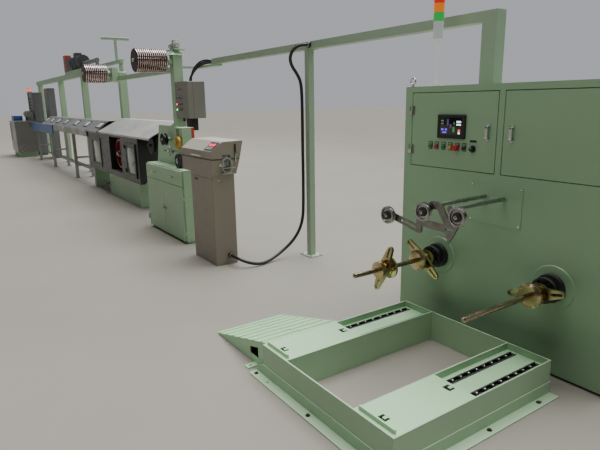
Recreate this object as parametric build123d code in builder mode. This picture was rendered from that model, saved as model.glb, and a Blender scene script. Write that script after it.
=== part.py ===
"""Wire extrusion line, from the extruder head at the far left to the two-reel take-up at the right.

X runs along the line towards the take-up, +Y points away from the operator and Z points up.
The origin lies on the floor in the middle of the plant. All sizes are in millimetres.
"""
from build123d import *
import os

os.makedirs("parts", exist_ok=True)

# Whole plant
LINE_LENGTH = 18400
LINE_DEPTH = 2280
LINE_END = LINE_LENGTH / 2
BACK_Y = LINE_DEPTH / 2
FRONT_Y = -LINE_DEPTH / 2

# Clearances
SHAFT_CLEARANCE = 0.05
DOOR_GAP = 5
RUNNING_GAP = 6

# Take-up cabinet
CABINET_WIDTH = 1520
CABINET_DEPTH = 905
CABINET_HEIGHT = 1622
CABINET_CORNER = 8
PLINTH_HEIGHT = 15
PLINTH_INSET = 40
CABINET_X = LINE_END - CABINET_WIDTH / 2
CABINET_FRONT = BACK_Y - CABINET_DEPTH

# Cabinet doors
DOOR_WIDTH = 664
DOOR_HEIGHT = 474
DOOR_TOP_MARGIN = 43
DOOR_BOTTOM = CABINET_HEIGHT - DOOR_TOP_MARGIN - DOOR_HEIGHT
DOOR_THICKNESS = 20
DOOR_MULLION = 48
COMPARTMENT_LIP = 16
COMPARTMENT_DEPTH = 300
HINGE_RADIUS = 7
HINGE_PIN_RADIUS = 3.5
HINGE_LENGTH = 60
HINGE_LEAF = 26
HINGE_SHEET = 3
HINGE_STAND_OFF = 0.5
HINGE_HEIGHT_SHARE = (0.22, 0.76)
PULL_LENGTH = 104
PULL_WIDTH = 20
PULL_THICKNESS = 8
PULL_REACH = 24
PULL_FOOT_RADIUS = 14
PULL_FOOT_THICKNESS = 5
PULL_X = 80
PULL_HEIGHT = 237
SCREEN_WIDTH = 217
SCREEN_HEIGHT = 148
SCREEN_DEPTH = 14
SCREEN_X = 350
SCREEN_Z = DOOR_BOTTOM + 264
BUTTON_Z = DOOR_BOTTOM + 134
BUTTON_RADIUS = 13
BUTTON_X = (518, 468, 410, 354, 300, 248, 182)

# Reel spindles
SPINDLE_OFFSET = 400
SPINDLE_Z = 520
SPINDLE_RADIUS = 15
SPINDLE_REACH = 755
SPINDLE_TIP = 8
SPINDLE_ROOT = 100
FLANGE_RADIUS = 80
FLANGE_LENGTH = 95
DRIVER_PIN_RADIUS = 7
DRIVER_PIN_REACH = 14
RING_RADIUS = 125
RING_THICKNESS = 6
RING_BEVEL = 4

# Clamping nuts on the spindles
NUT_LENGTH = 116
NUT_DISC_RADIUS = 68
NUT_HUB_RADIUS = 36
WING_SPAN = 330
WING_TIP_RADIUS = 19
WING_ROOT_RADIUS = 42
WING_THICKNESS = 18
WING_SLOT_LENGTH = 74
WING_SLOT_WIDTH = 15
INNER_NUT_REACH = 230
OUTER_NUT_REACH = 445

# Traverse guide
TRAVERSE_ROD_OFFSET = 63
TRAVERSE_ROD_RADIUS = 12
TRAVERSE_Z = 965
TRAVERSE_REACH = 475
TRAVERSE_STROKE_IN = 150
TRAVERSE_ROD_ROOT = 380
BRACKET_THICKNESS = 10
STRAP_WIDTH = 42
STRAP_SLOT_WIDTH = 14
PULLEY_RADIUS = 53
PULLEY_WIDTH = 26
PULLEY_PIN_RADIUS = 8
COVER_WIDTH = 356
COVER_TOP = 1040
COVER_BOTTOM = 800
COVER_THICKNESS = 4
BUSH_RADIUS = 20
BUSH_LENGTH = 10

# Loading platform
PLATFORM_WIDTH = 1060
PLATFORM_LENGTH = 1140
PLATFORM_HEIGHT = 190
PLATFORM_WALL = 8
LANE_WIDTHS = (244, 265)
FOOT_ANGLE = 60
FOOT_RISE = 67
FOOT_SHEET = 6
FOOT_LEAD = 72
DECK_LENGTH = 530
BED_DROP = 38
DECK_PLATE = 8
DECK_BAR_HEIGHT = 20
STRIP_WIDTH = 42
STRIP_LENGTH = 540
STRIP_LIP = 4
STRIP_SHEET = 3
STRIP_DEPTH = 18
STRIP_OFFSET = 73
RAMP_RUN = 690
RAMP_WIDTH = 522
RAMP_SHEET = 6
RAMP_HOLE_DISTANCE = 108
RAMP_HOLE_WIDTH = 100
RAMP_HOLE_BOTTOM = 46
RAMP_HOLE_CLEAR = 42
RAMP_BARS = 7
RAMP_BAR_START = 62
RAMP_BAR_PITCH = 93
RAMP_BAR_WIDTH = 12
RAMP_BAR_HEIGHT = 7
RAMP_BAR_STAGGER = 14
RAMP_LUG_LENGTH = 48
RAMP_LUG_REACH = 70

# Cable trunk and its post
TRUNK_FRONT = 527
TRUNK_DEPTH = 90
TRUNK_HEIGHT = 66
TRUNK_TOP = 2080
TRUNK_END_X = LINE_END - 1043
TRUNK_LENGTH = 4157
TRUNK_DUCT_WIDTH = 110
TRUNK_BRACE = 4
TRUNK_ARM_WIDTH = 70
TRUNK_ARM_THICKNESS = 25
TRUNK_ARM_LAP = 120
POST_X = LINE_END - 3115
POST_SECTION = 66
POST_PLATE = 8
POST_PLATE_MARGIN = 64
HOSE_RADIUS = 15
HOSE_EXIT_DROP = 30
GLAND_RADIUS = 24
GLAND_LENGTH = 30

# Spark tester
TESTER_X = LINE_END - 3335
TESTER_LENGTH = 710
TESTER_FRONT = -400
TESTER_BACK_FOOT = -150
TESTER_BACK_SEAM = -105
TESTER_BACK_TOP = -70
TESTER_BOTTOM = 880
TESTER_SEAM = 1030
TESTER_TOP = 1190
TESTER_BROW = 1100
PEDESTAL_WIDTH = 502
PEDESTAL_DEPTH = 230
WIRE_Y = -250
CHANNEL_WIDTH = 84
CHANNEL_FLOOR = 925
CHANNEL_TOP = 1062
GUARD_HEIGHT = 150
GUARD_WIDTH = 100
GUARD_BAR = 8

# Tool cabinet
TOOLS_X = LINE_END - 4875
TOOLS_WIDTH = 1180
TOOLS_DEPTH = 450
TOOLS_HEIGHT = 825
TOOLS_FRONT = -330
TOOLS_WALL = 20
TOOLS_BASE = 25
TOOLS_BASE_INSET = 12
DRAWER_HEIGHT = 150

# Wheel stand on the tool cabinet
STAND_RIGHT = TOOLS_X + 195
STAND_BASE_WIDTH = 780
STAND_TOP_WIDTH = 650
STAND_HEIGHT = 460
STAND_SHEET = 10
STAND_Y = -170
STAND_FOOT_DEPTH = 60
STAND_WHEEL_X = STAND_RIGHT - 270
STAND_WHEEL_RISE = 305
STAND_WHEEL_RADIUS = 73
STAND_WHEEL_WIDTH = 50
METER_WIDTH = 210
METER_FRONT = -215
METER_BACK = -72
METER_HEIGHT = 450
METER_RECESS_RISE = 295
METER_X = STAND_RIGHT + 155
METER_RISE = 286
METER_RADIUS = 71
METER_RIM = 30
PRESSURE_X = STAND_RIGHT + 140
PRESSURE_RISE = 83
PRESSURE_RADIUS = 78
PRESSURE_RIM = 34
WHEEL_SHAFT_RADIUS = 12

# Wire store rollers and the post that carries one of them
STORE_POST_X = LINE_END - 5728
STORE_POST_Y = 266
STORE_POST_SECTION = 131
STORE_POST_HEIGHT = 2150
STORE_POST_PLATE = 12
STORE_POST_MARGIN = 75
STORE_CAP_WIDTH = 190
STORE_CAP_HEIGHT = 65
STORE_CAP_ANGLE = 50
STORE_RADIUS = 147
STORE_SHAFT_RADIUS = 25
STORE_GROOVE = 9
NEAR_ROLLER_Z = 2075
NEAR_ROLLER_Y = (-285, 110)
FAR_ROLLER_X = STORE_POST_X - 2547
FAR_ROLLER_Z = 2040
FAR_ROLLER_Y = (-335, 22)
RAIL_Y = (200, 260)
RAIL_Z = (1930, 2000)
CARRIAGE_WIDTH = 200
CARRIAGE_DEPTH = 100
CARRIAGE_Z = (1920, 2140)
CONTROL_BOX_WIDTH = 427
CONTROL_BOX_Y = (200, 430)
CONTROL_BOX_Z = (1350, 1807)
CONTROL_LAMP_X = (97, 213)
CONTROL_LAMP_Z = (1460, 1527, 1607, 1718)

# Overhead gantry
GANTRY_Y = 485
COLUMN_SECTION = 130
COLUMN_PLATE = 12
COLUMN_PLATE_MARGIN = 25
COLUMN_DISTANCES = (18033, 14637, 11939, 8951)
COLUMN_X = [LINE_END - distance for distance in COLUMN_DISTANCES]
LAST_COLUMN_HEIGHT = 2120
BEAM_DEPTH = 120
BEAM_BOTTOM = 2170
BEAM_HEIGHT = 120
DRIVE_BEAM_HEIGHT = 180
DRIVE_BEAM_X = (LINE_END - 13650, LINE_END - 11400)
UPPER_RAIL_SECTION = 60
UPPER_RAIL_BOTTOM = 2270
DRIVE_BOX_WIDTH = 240
DRIVE_BOX_DEPTH = 140
DRIVE_BOX_HEIGHT = 390
GEARBOX_LENGTH = 690
GEARBOX_HEIGHT = 290
DRIVE_MOTOR_LENGTH = 900
DRIVE_MOTOR_RADIUS = 140
DRIVE_SHAFT_LENGTH = 1210
DRIVE_SHAFT_RADIUS = 45
LAMP_POLE_OFFSET = 229
LAMP_POLE_TOP = 2715
LAMP_POLE_SECTION = 40
LAMP_BAR_LENGTH = 500

# Floor-standing switch cabinets behind the head and the trough: x of the left side, y of the front,
# width, depth and height
SWITCH_CABINETS = (
    (LINE_END - 18200, 130, 800, 270, 1940),
    (LINE_END - 16600, 340, 600, 200, 2030),
)
SWITCH_PLINTH = 60

# Capstan
CAPSTAN_FRONT = -90
CAPSTAN_DEPTH = 500
CAPSTAN_X = (LINE_END - 9575, LINE_END - 6525)
CAPSTAN_BASE_X = (LINE_END - 8405, LINE_END - 6715)
CAPSTAN_BASE_HEIGHT = 380
CAPSTAN_LEG_WIDTH = 100
CAPSTAN_TOP = 1050
CAPSTAN_SHEET = 8
HOOD_TOP = 1290
HOOD_X = (LINE_END - 8775, LINE_END - 6025)
CAPSTAN_WHEEL_X = LINE_END - 7725
CAPSTAN_WHEEL_Z = 750
CAPSTAN_WHEEL_RADIUS = 235
WHEEL_BAY_DEPTH = 220
WINDOW_FRAME = 50
WINDOW_SET_BACK = 6
EXIT_PULLEY_X = LINE_END - 6175
EXIT_PULLEY_Z = 975
EXIT_PULLEY_RADIUS = 125

# Cooling trough
TROUGH_FRONT = -110
TROUGH_DEPTH = 400
TROUGH_START = LINE_END - 16475
TROUGH_BOTTOM = 950
TROUGH_TOP = 1050
TROUGH_SHEET = 8
LID_LENGTH = 1950
LID_COUNT = 3
LID_TOP = 1250
LEG_X = (LINE_END - 15735, LINE_END - 13545, LINE_END - 10975)
LEG_SECTION = 60
LEG_BRACE_Z = 440
DRAIN_PIPE_Z = 290
DRAIN_PIPE_RADIUS = 20
TROUGH_PANEL_X = (LINE_END - 16375, LINE_END - 13075)

# Head station
HEAD_X = (-LINE_END, TROUGH_START - 625)
HEAD_Y = (-500, 100)
HEAD_BODY_Z = (150, 1060)
HEAD_BASE_INSET = 40
HEAD_TABLE_THICKNESS = 25
HEAD_TABLE_OVERHANG = 20
HEAD_LAMP_Z = 1960
CHUTE_Y = (-80, 80)
CHUTE_TOP = 1040
CHUTE_LAP = 60


def front_plane(y):
    """Front view at depth y: the sketch's x is X and its y is Z, and it extrudes towards the operator."""
    return Plane.XZ.offset(-y)


def side_plane(x):
    """Side view at x: the sketch's x is Y and its y is Z, and it extrudes towards the take-up end."""
    return Plane.YZ.offset(x)


def box_between(x, y, z, mode=Mode.ADD):
    """Add a block between three pairs of low and high limits to the open part, or cut it."""
    with Locations((sum(x) / 2, sum(y) / 2, sum(z) / 2)):
        Box(x[1] - x[0], y[1] - y[0], z[1] - z[0], mode=mode)


def prism(plane, corners, length, mode=Mode.ADD):
    """Extrude an outline with straight sides, given by its corners on the plane."""
    with BuildSketch(plane) as outline:
        with BuildLine():
            Polyline(*corners, close=True)
        make_face()
    extrude(outline.sketch, amount=length, mode=mode)


def round_bar(start, end, radius, mode=Mode.ADD):
    """Add or cut a round bar between two points of the open part."""
    direction = Vector(*end) - Vector(*start)
    with BuildSketch(Plane(origin=start, z_dir=direction)) as section:
        Circle(radius)
    extrude(section.sketch, amount=direction.length, mode=mode)


def turned(x, y, z, profile):
    """Turn a profile of (radius, reach) corners about an axis along -Y that starts at the given point."""
    axis_plane = Plane(origin=(x, y, z), x_dir=(1, 0, 0), z_dir=(0, 0, 1))
    with BuildSketch(axis_plane) as half:
        with BuildLine():
            Polyline(*[(radius, -reach) for radius, reach in profile], close=True)
        make_face()
    revolve(half.sketch, axis=Axis((x, y, z), (0, -1, 0)))


def hinge_fixed(x, front_y, z, leaf_side):
    """Fixed half of a barrel hinge: leaf on the wall, lower knuckle and the pin through both knuckles."""
    axis_y = front_y - HINGE_RADIUS - HINGE_STAND_OFF
    half = HINGE_LENGTH / 2
    leaf = sorted((x, x + leaf_side * HINGE_LEAF))
    box_between(leaf, (axis_y, front_y), (z - half, z - HINGE_STAND_OFF))
    round_bar((x, axis_y, z - half), (x, axis_y, z - HINGE_STAND_OFF), HINGE_RADIUS)
    round_bar((x, axis_y, z - half), (x, axis_y, z + half), HINGE_PIN_RADIUS)


def hinge_moving(x, front_y, z, leaf_side):
    """Moving half of a barrel hinge: upper knuckle bored for the pin, and its strap on the door."""
    axis_y = front_y - HINGE_RADIUS - HINGE_STAND_OFF
    half = HINGE_LENGTH / 2
    strap = sorted((x, x + leaf_side * HINGE_LEAF))
    box_between(strap, (front_y - HINGE_SHEET, front_y), (z, z + half))
    round_bar((x, axis_y, z), (x, axis_y, z + half), HINGE_RADIUS)
    round_bar(
        (x, axis_y, z), (x, axis_y, z + half), HINGE_PIN_RADIUS + SHAFT_CLEARANCE, mode=Mode.SUBTRACT
    )


# Take-up cabinet housing with the two compartments behind its doors
door_z = (DOOR_BOTTOM, DOOR_BOTTOM + DOOR_HEIGHT)
left_door_x = (CABINET_X - DOOR_MULLION / 2 - DOOR_WIDTH, CABINET_X - DOOR_MULLION / 2)
right_door_x = (CABINET_X + DOOR_MULLION / 2, CABINET_X + DOOR_MULLION / 2 + DOOR_WIDTH)
door_hinge_x = (left_door_x[0] - DOOR_GAP / 2, right_door_x[1] + DOOR_GAP / 2)
door_hinge_z = [DOOR_BOTTOM + DOOR_HEIGHT * share for share in HINGE_HEIGHT_SHARE]
spindle_x = (CABINET_X - SPINDLE_OFFSET, CABINET_X + SPINDLE_OFFSET)
rod_x = (CABINET_X - TRAVERSE_ROD_OFFSET, CABINET_X + TRAVERSE_ROD_OFFSET)

with BuildPart() as takeup_housing:
    with BuildSketch(Plane.XY.offset(PLINTH_HEIGHT)):
        with Locations((CABINET_X, CABINET_FRONT + CABINET_DEPTH / 2)):
            RectangleRounded(CABINET_WIDTH, CABINET_DEPTH, CABINET_CORNER)
    extrude(amount=CABINET_HEIGHT - PLINTH_HEIGHT)
    box_between(
        (CABINET_X - CABINET_WIDTH / 2 + PLINTH_INSET, CABINET_X + CABINET_WIDTH / 2 - PLINTH_INSET),
        (CABINET_FRONT + PLINTH_INSET, BACK_Y - PLINTH_INSET),
        (0, PLINTH_HEIGHT),
    )
    for door_x in (left_door_x, right_door_x):
        box_between(
            (door_x[0] - DOOR_GAP, door_x[1] + DOOR_GAP),
            (CABINET_FRONT, CABINET_FRONT + DOOR_THICKNESS + DOOR_GAP),
            (door_z[0] - DOOR_GAP, door_z[1] + DOOR_GAP),
            mode=Mode.SUBTRACT,
        )
        box_between(
            (door_x[0] + COMPARTMENT_LIP, door_x[1] - COMPARTMENT_LIP),
            (CABINET_FRONT, CABINET_FRONT + COMPARTMENT_DEPTH),
            (door_z[0] + COMPARTMENT_LIP, door_z[1] - COMPARTMENT_LIP),
            mode=Mode.SUBTRACT,
        )
    for x in spindle_x:
        turned(
            x,
            CABINET_FRONT,
            SPINDLE_Z,
            [(0, 0), (RING_RADIUS, 0), (RING_RADIUS - RING_BEVEL, RING_THICKNESS), (0, RING_THICKNESS)],
        )
        round_bar(
            (x, CABINET_FRONT - RING_THICKNESS, SPINDLE_Z),
            (x, CABINET_FRONT + SPINDLE_ROOT + DOOR_GAP, SPINDLE_Z),
            SPINDLE_RADIUS + SHAFT_CLEARANCE,
            mode=Mode.SUBTRACT,
        )
    for x in rod_x:
        round_bar(
            (x, CABINET_FRONT, TRAVERSE_Z),
            (x, CABINET_FRONT + TRAVERSE_ROD_ROOT + TRAVERSE_STROKE_IN + DOOR_GAP, TRAVERSE_Z),
            TRAVERSE_ROD_RADIUS + SHAFT_CLEARANCE,
            mode=Mode.SUBTRACT,
        )
takeup_housing.part.label = "takeup_housing"

with BuildPart() as door_hinges:
    for x, leaf_side in zip(door_hinge_x, (-1, 1)):
        for z in door_hinge_z:
            hinge_fixed(x, CABINET_FRONT, z, leaf_side)
door_hinges.part.label = "door_hinges"


def takeup_door(label, door_x, hinge_x, leaf_side):
    """Folded door leaf with its two hinge straps."""
    with BuildPart() as door:
        with BuildSketch(front_plane(CABINET_FRONT + DOOR_THICKNESS)):
            with Locations((sum(door_x) / 2, sum(door_z) / 2)):
                RectangleRounded(DOOR_WIDTH, DOOR_HEIGHT, HINGE_SHEET)
        extrude(amount=DOOR_THICKNESS)
        box_between(
            (door_x[0] + HINGE_SHEET, door_x[1] - HINGE_SHEET),
            (CABINET_FRONT + HINGE_SHEET, CABINET_FRONT + DOOR_THICKNESS),
            (door_z[0] + HINGE_SHEET, door_z[1] - HINGE_SHEET),
            mode=Mode.SUBTRACT,
        )
        for z in door_hinge_z:
            hinge_moving(hinge_x, CABINET_FRONT, z, leaf_side)
    door.part.label = label
    return door


takeup_door_left = takeup_door("takeup_door_left", left_door_x, door_hinge_x[0], 1)
takeup_door_right = takeup_door("takeup_door_right", right_door_x, door_hinge_x[1], -1)


def door_pull(label, x):
    """Upright bow handle on a round foot at each end."""
    z = DOOR_BOTTOM + PULL_HEIGHT
    foot_z = (z - PULL_LENGTH / 2 + PULL_FOOT_RADIUS, z + PULL_LENGTH / 2 - PULL_FOOT_RADIUS)
    grip_y = CABINET_FRONT - PULL_REACH + PULL_THICKNESS / 2
    with BuildPart() as pull:
        with BuildSketch(front_plane(CABINET_FRONT)) as feet:
            with Locations((x, foot_z[0]), (x, foot_z[1])):
                Circle(PULL_FOOT_RADIUS)
        extrude(feet.sketch, amount=PULL_FOOT_THICKNESS, taper=20)
        with BuildLine(side_plane(x)) as bow:
            FilletPolyline(
                (CABINET_FRONT, foot_z[0]),
                (grip_y, foot_z[0]),
                (grip_y, foot_z[1]),
                (CABINET_FRONT, foot_z[1]),
                radius=PULL_THICKNESS * 1.5,
            )
        with BuildSketch(front_plane(CABINET_FRONT)) as section:
            with Locations((x, foot_z[0])):
                RectangleRounded(PULL_WIDTH, PULL_THICKNESS, PULL_THICKNESS / 3)
        sweep(section.sketch, path=bow.line)
    pull.part.label = label
    return pull


door_pull_left = door_pull("door_pull_left", CABINET_X - PULL_X)
door_pull_right = door_pull("door_pull_right", CABINET_X + PULL_X)

with BuildPart() as operator_screen:
    with BuildSketch(front_plane(CABINET_FRONT)):
        with Locations((CABINET_X - SCREEN_X, SCREEN_Z)):
            RectangleRounded(SCREEN_WIDTH, SCREEN_HEIGHT, 6)
    extrude(amount=SCREEN_DEPTH)
    chamfer(operator_screen.faces().sort_by(Axis.Y)[0].edges(), 3)
    with BuildSketch(front_plane(CABINET_FRONT - SCREEN_DEPTH + 2)):
        with Locations((CABINET_X - SCREEN_X, SCREEN_Z + 4)):
            Rectangle(SCREEN_WIDTH - 44, SCREEN_HEIGHT - 40)
    extrude(amount=2, mode=Mode.SUBTRACT)
operator_screen.part.label = "operator_screen"

# Push buttons, the stop mushroom, the selector and the speed dial, each on its collar
BUTTON_SHAPES = {
    "flat": [(BUTTON_RADIUS + 2, 0), (BUTTON_RADIUS + 2, 5), (BUTTON_RADIUS - 2, 5), (BUTTON_RADIUS - 3, 15)],
    "mushroom": [(BUTTON_RADIUS, 0), (BUTTON_RADIUS, 16), (BUTTON_RADIUS + 7, 20), (BUTTON_RADIUS + 3, 32)],
    "dial": [(BUTTON_RADIUS + 9, 0), (BUTTON_RADIUS + 9, 4), (BUTTON_RADIUS + 2, 6), (BUTTON_RADIUS, 24)],
}
button_kinds = ("flat", "flat", "flat", "flat", "mushroom", "flat", "dial")
with BuildPart() as push_buttons:
    for offset_x, kind in zip(BUTTON_X, button_kinds):
        profile = BUTTON_SHAPES[kind]
        turned(
            CABINET_X - offset_x,
            CABINET_FRONT,
            BUTTON_Z,
            [(0, 0)] + profile + [(0, profile[-1][1])],
        )
push_buttons.part.label = "push_buttons"

# Signal tower on the cabinet roof
TOWER_X = CABINET_X - 605
TOWER_Y = CABINET_FRONT + 125
TOWER_MODULE = 55
with BuildPart() as signal_tower:
    with BuildSketch(Plane.XY.offset(CABINET_HEIGHT)):
        with Locations((TOWER_X, TOWER_Y)):
            Circle(38)
    extrude(amount=14)
    with BuildSketch(Plane.XY.offset(CABINET_HEIGHT)):
        with Locations((TOWER_X, TOWER_Y)):
            Circle(11)
    extrude(amount=300)
    with BuildSketch(Plane.XY.offset(CABINET_HEIGHT + 300)):
        with Locations((TOWER_X, TOWER_Y)):
            Circle(32)
    extrude(amount=110)
    for level in range(3):
        with BuildSketch(Plane.XY.offset(CABINET_HEIGHT + 410 + level * TOWER_MODULE)):
            with Locations((TOWER_X, TOWER_Y)):
                Circle(32)
        extrude(amount=TOWER_MODULE)
        with BuildSketch(Plane.XY.offset(CABINET_HEIGHT + 414 + level * TOWER_MODULE)):
            with Locations((TOWER_X, TOWER_Y)):
                Circle(35)
        extrude(amount=TOWER_MODULE - 8)
signal_tower.part.label = "signal_tower"

# Screwed cover panel with a bush for each traverse rod
with BuildPart() as front_cover_panel:
    with BuildSketch(front_plane(CABINET_FRONT)):
        with Locations((CABINET_X, (COVER_TOP + COVER_BOTTOM) / 2)):
            RectangleRounded(COVER_WIDTH, COVER_TOP - COVER_BOTTOM, 6)
    extrude(amount=COVER_THICKNESS)
    for x in rod_x:
        round_bar(
            (x, CABINET_FRONT, TRAVERSE_Z), (x, CABINET_FRONT - BUSH_LENGTH, TRAVERSE_Z), BUSH_RADIUS
        )
        round_bar(
            (x, CABINET_FRONT, TRAVERSE_Z),
            (x, CABINET_FRONT - BUSH_LENGTH, TRAVERSE_Z),
            TRAVERSE_ROD_RADIUS + SHAFT_CLEARANCE,
            mode=Mode.SUBTRACT,
        )
front_cover_panel.part.label = "front_cover_panel"


# Reel spindles, each with the black drive flange that carries the driver pin
def spindle_shaft(label, x):
    """Bar with a chamfered tip, running from inside the cabinet out over the platform lane."""
    with BuildPart() as shaft:
        turned(
            x,
            CABINET_FRONT + SPINDLE_ROOT,
            SPINDLE_Z,
            [
                (0, 0),
                (SPINDLE_RADIUS, 0),
                (SPINDLE_RADIUS, SPINDLE_ROOT + SPINDLE_REACH - SPINDLE_TIP),
                (SPINDLE_RADIUS - SPINDLE_TIP, SPINDLE_ROOT + SPINDLE_REACH),
                (0, SPINDLE_ROOT + SPINDLE_REACH),
            ],
        )
    shaft.part.label = label
    return shaft


def drive_flange(label, x):
    """Black flange with a turned-down waist and the driver pin at its rim."""
    start = CABINET_FRONT - RING_THICKNESS - RUNNING_GAP
    length = FLANGE_LENGTH - RING_THICKNESS - RUNNING_GAP
    with BuildPart() as flange:
        turned(
            x,
            start,
            SPINDLE_Z,
            [
                (SPINDLE_RADIUS, 0),
                (FLANGE_RADIUS, 0),
                (FLANGE_RADIUS, length * 0.35),
                (FLANGE_RADIUS * 0.72, length * 0.45),
                (FLANGE_RADIUS * 0.72, length * 0.7),
                (FLANGE_RADIUS * 0.9, length * 0.75),
                (FLANGE_RADIUS * 0.9, length),
                (SPINDLE_RADIUS, length),
            ],
        )
        pin_x = x - FLANGE_RADIUS * 0.66
        round_bar(
            (pin_x, start - length, SPINDLE_Z),
            (pin_x, start - length - DRIVER_PIN_REACH, SPINDLE_Z),
            DRIVER_PIN_RADIUS,
        )
        fillet(flange.faces().sort_by(Axis.Y)[0].edges(), DRIVER_PIN_RADIUS / 3)
        with BuildSketch(front_plane(start - length)) as holes:
            with Locations((x, SPINDLE_Z)):
                with PolarLocations(FLANGE_RADIUS * 0.66, 5, start_angle=-120, angular_range=300):
                    Circle(DRIVER_PIN_RADIUS)
        extrude(holes.sketch, amount=-length * 0.2, mode=Mode.SUBTRACT)
    flange.part.label = label
    return flange


left_spindle_shaft = spindle_shaft("left_spindle_shaft", spindle_x[0])
right_spindle_shaft = spindle_shaft("right_spindle_shaft", spindle_x[1])
left_drive_flange = drive_flange("left_drive_flange", spindle_x[0])
right_drive_flange = drive_flange("right_drive_flange", spindle_x[1])


def wing_nut(label, x, face_y, outward, wing_angle):
    """Clamping nut: centring disc at its face, stepped hub and two slotted wings at its far end.

    outward is 1 where the disc looks at the operator and -1 where it looks at the cabinet;
    wing_angle is how far the wings are turned up from level, seen by the operator.
    """
    back = [
        (SPINDLE_RADIUS + SHAFT_CLEARANCE, 0),
        (NUT_DISC_RADIUS - 14, 0),
        (NUT_DISC_RADIUS, 10),
        (NUT_DISC_RADIUS, 24),
        (NUT_HUB_RADIUS + 10, 30),
        (NUT_HUB_RADIUS + 10, 44),
        (NUT_HUB_RADIUS, 48),
        (NUT_HUB_RADIUS, 84),
        (NUT_HUB_RADIUS + 16, 90),
        (NUT_HUB_RADIUS + 16, NUT_LENGTH),
        (SPINDLE_RADIUS + SHAFT_CLEARANCE, NUT_LENGTH),
    ]
    wing_start = face_y + outward * (NUT_LENGTH - 60)
    wing_line = Vector(1, 0, 0).rotate(Axis.Y, -wing_angle)
    wing_plane = Plane(origin=(x, wing_start, SPINDLE_Z), x_dir=wing_line, z_dir=(0, outward, 0))
    with BuildPart() as nut:
        turned(x, face_y, SPINDLE_Z, [(radius, -outward * reach) for radius, reach in back])
        with BuildSketch(wing_plane) as wings:
            tip = WING_SPAN / 2 - WING_TIP_RADIUS
            Circle(WING_ROOT_RADIUS)
            with Locations((-tip, 0), (tip, 0)):
                Circle(WING_TIP_RADIUS)
            make_hull()
            with Locations((-tip + WING_SLOT_LENGTH / 3, 0), (tip - WING_SLOT_LENGTH / 3, 0)):
                SlotOverall(WING_SLOT_LENGTH, WING_SLOT_WIDTH, mode=Mode.SUBTRACT)
            Circle(SPINDLE_RADIUS + SHAFT_CLEARANCE, mode=Mode.SUBTRACT)
        extrude(wings.sketch, amount=WING_THICKNESS)
    nut.part.label = label
    return nut


inner_face_y = CABINET_FRONT - INNER_NUT_REACH
outer_face_y = CABINET_FRONT - OUTER_NUT_REACH
left_inner_nut = wing_nut("left_inner_nut", spindle_x[0], inner_face_y, 1, 143)
right_inner_nut = wing_nut("right_inner_nut", spindle_x[1], inner_face_y, 1, 14)
left_outer_nut = wing_nut("left_outer_nut", spindle_x[0], outer_face_y, -1, 67)

# Traverse: two rods out of the cabinet with the guide pulley bracket at their ends
traverse_y = CABINET_FRONT - TRAVERSE_REACH
guide_centres = {
    "guide_pulley_left": (CABINET_X - 389, TRAVERSE_Z - 104),
    "guide_pulley_middle": (CABINET_X - 110, TRAVERSE_Z - 38),
    "guide_pulley_right": (CABINET_X + 130, TRAVERSE_Z - 29),
}
with BuildPart() as traverse_rods:
    for x in rod_x:
        round_bar(
            (x, CABINET_FRONT + TRAVERSE_ROD_ROOT, TRAVERSE_Z),
            (x, traverse_y + BRACKET_THICKNESS, TRAVERSE_Z),
            TRAVERSE_ROD_RADIUS,
        )
traverse_rods.part.label = "traverse_rods"


def strap(start, end, width, mode=Mode.ADD):
    """Flat bar with round ends between two points of the bracket plane, or a slot cut there."""
    reach = Vector(end[0] - start[0], end[1] - start[1], 0)
    turn = reach.get_signed_angle(Vector(1, 0, 0), Vector(0, 0, -1))
    with Locations(((start[0] + end[0]) / 2, (start[1] + end[1]) / 2)):
        SlotCenterToCenter(reach.length, width, rotation=turn, mode=mode)


left_guide, middle_guide, right_guide = guide_centres.values()
rod_joint = (rod_x[0], TRAVERSE_Z + 6)
bar_elbow = (CABINET_X - 157, TRAVERSE_Z - 153)
bar_root = (CABINET_X - 157, TRAVERSE_Z - 107)
bar_end = (CABINET_X + 82, TRAVERSE_Z - 115)
brace_top = (rod_joint[0] + 50, rod_joint[1])
brace_foot = (CABINET_X + 56, TRAVERSE_Z - 102)
with BuildPart() as traverse_bracket:
    with BuildSketch(front_plane(traverse_y + BRACKET_THICKNESS)) as bracket_outline:
        strap(left_guide, bar_elbow, STRAP_WIDTH)
        strap(bar_root, bar_end, STRAP_WIDTH)
        strap(bar_elbow, bar_root, STRAP_WIDTH)
        strap(bar_root, middle_guide, STRAP_WIDTH)
        strap(middle_guide, rod_joint, STRAP_WIDTH)
        strap(rod_joint, brace_top, STRAP_WIDTH)
        strap(brace_top, brace_foot, STRAP_WIDTH)
        strap(bar_end, right_guide, STRAP_WIDTH)
        strap(right_guide, (rod_x[1], TRAVERSE_Z), STRAP_WIDTH)
        with BuildLine():
            Polyline(
                (bar_end[0] - 46, bar_end[1] - 12),
                (bar_end[0] + 20, bar_end[1] - 12),
                (bar_end[0] - 26, bar_end[1] - 81),
                close=True,
            )
        make_face()
        strap(
            (left_guide[0] + 92, left_guide[1] - 19),
            (bar_elbow[0] - 24, bar_elbow[1] + 5),
            STRAP_SLOT_WIDTH,
            mode=Mode.SUBTRACT,
        )
        strap((bar_end[0] - 40, bar_end[1]), (bar_end[0], bar_end[1]), STRAP_SLOT_WIDTH, mode=Mode.SUBTRACT)
        strap(rod_joint, (brace_top[0] - 6, brace_top[1]), STRAP_SLOT_WIDTH / 2, mode=Mode.SUBTRACT)
    extrude(bracket_outline.sketch, amount=BRACKET_THICKNESS)
    for x, z in guide_centres.values():
        round_bar(
            (x, traverse_y, z),
            (x, traverse_y - RUNNING_GAP - PULLEY_WIDTH - 8, z),
            PULLEY_PIN_RADIUS,
        )
        round_bar((x, traverse_y, z), (x, traverse_y - 1, z), PULLEY_PIN_RADIUS + 8)
traverse_bracket.part.label = "traverse_bracket"


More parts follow.
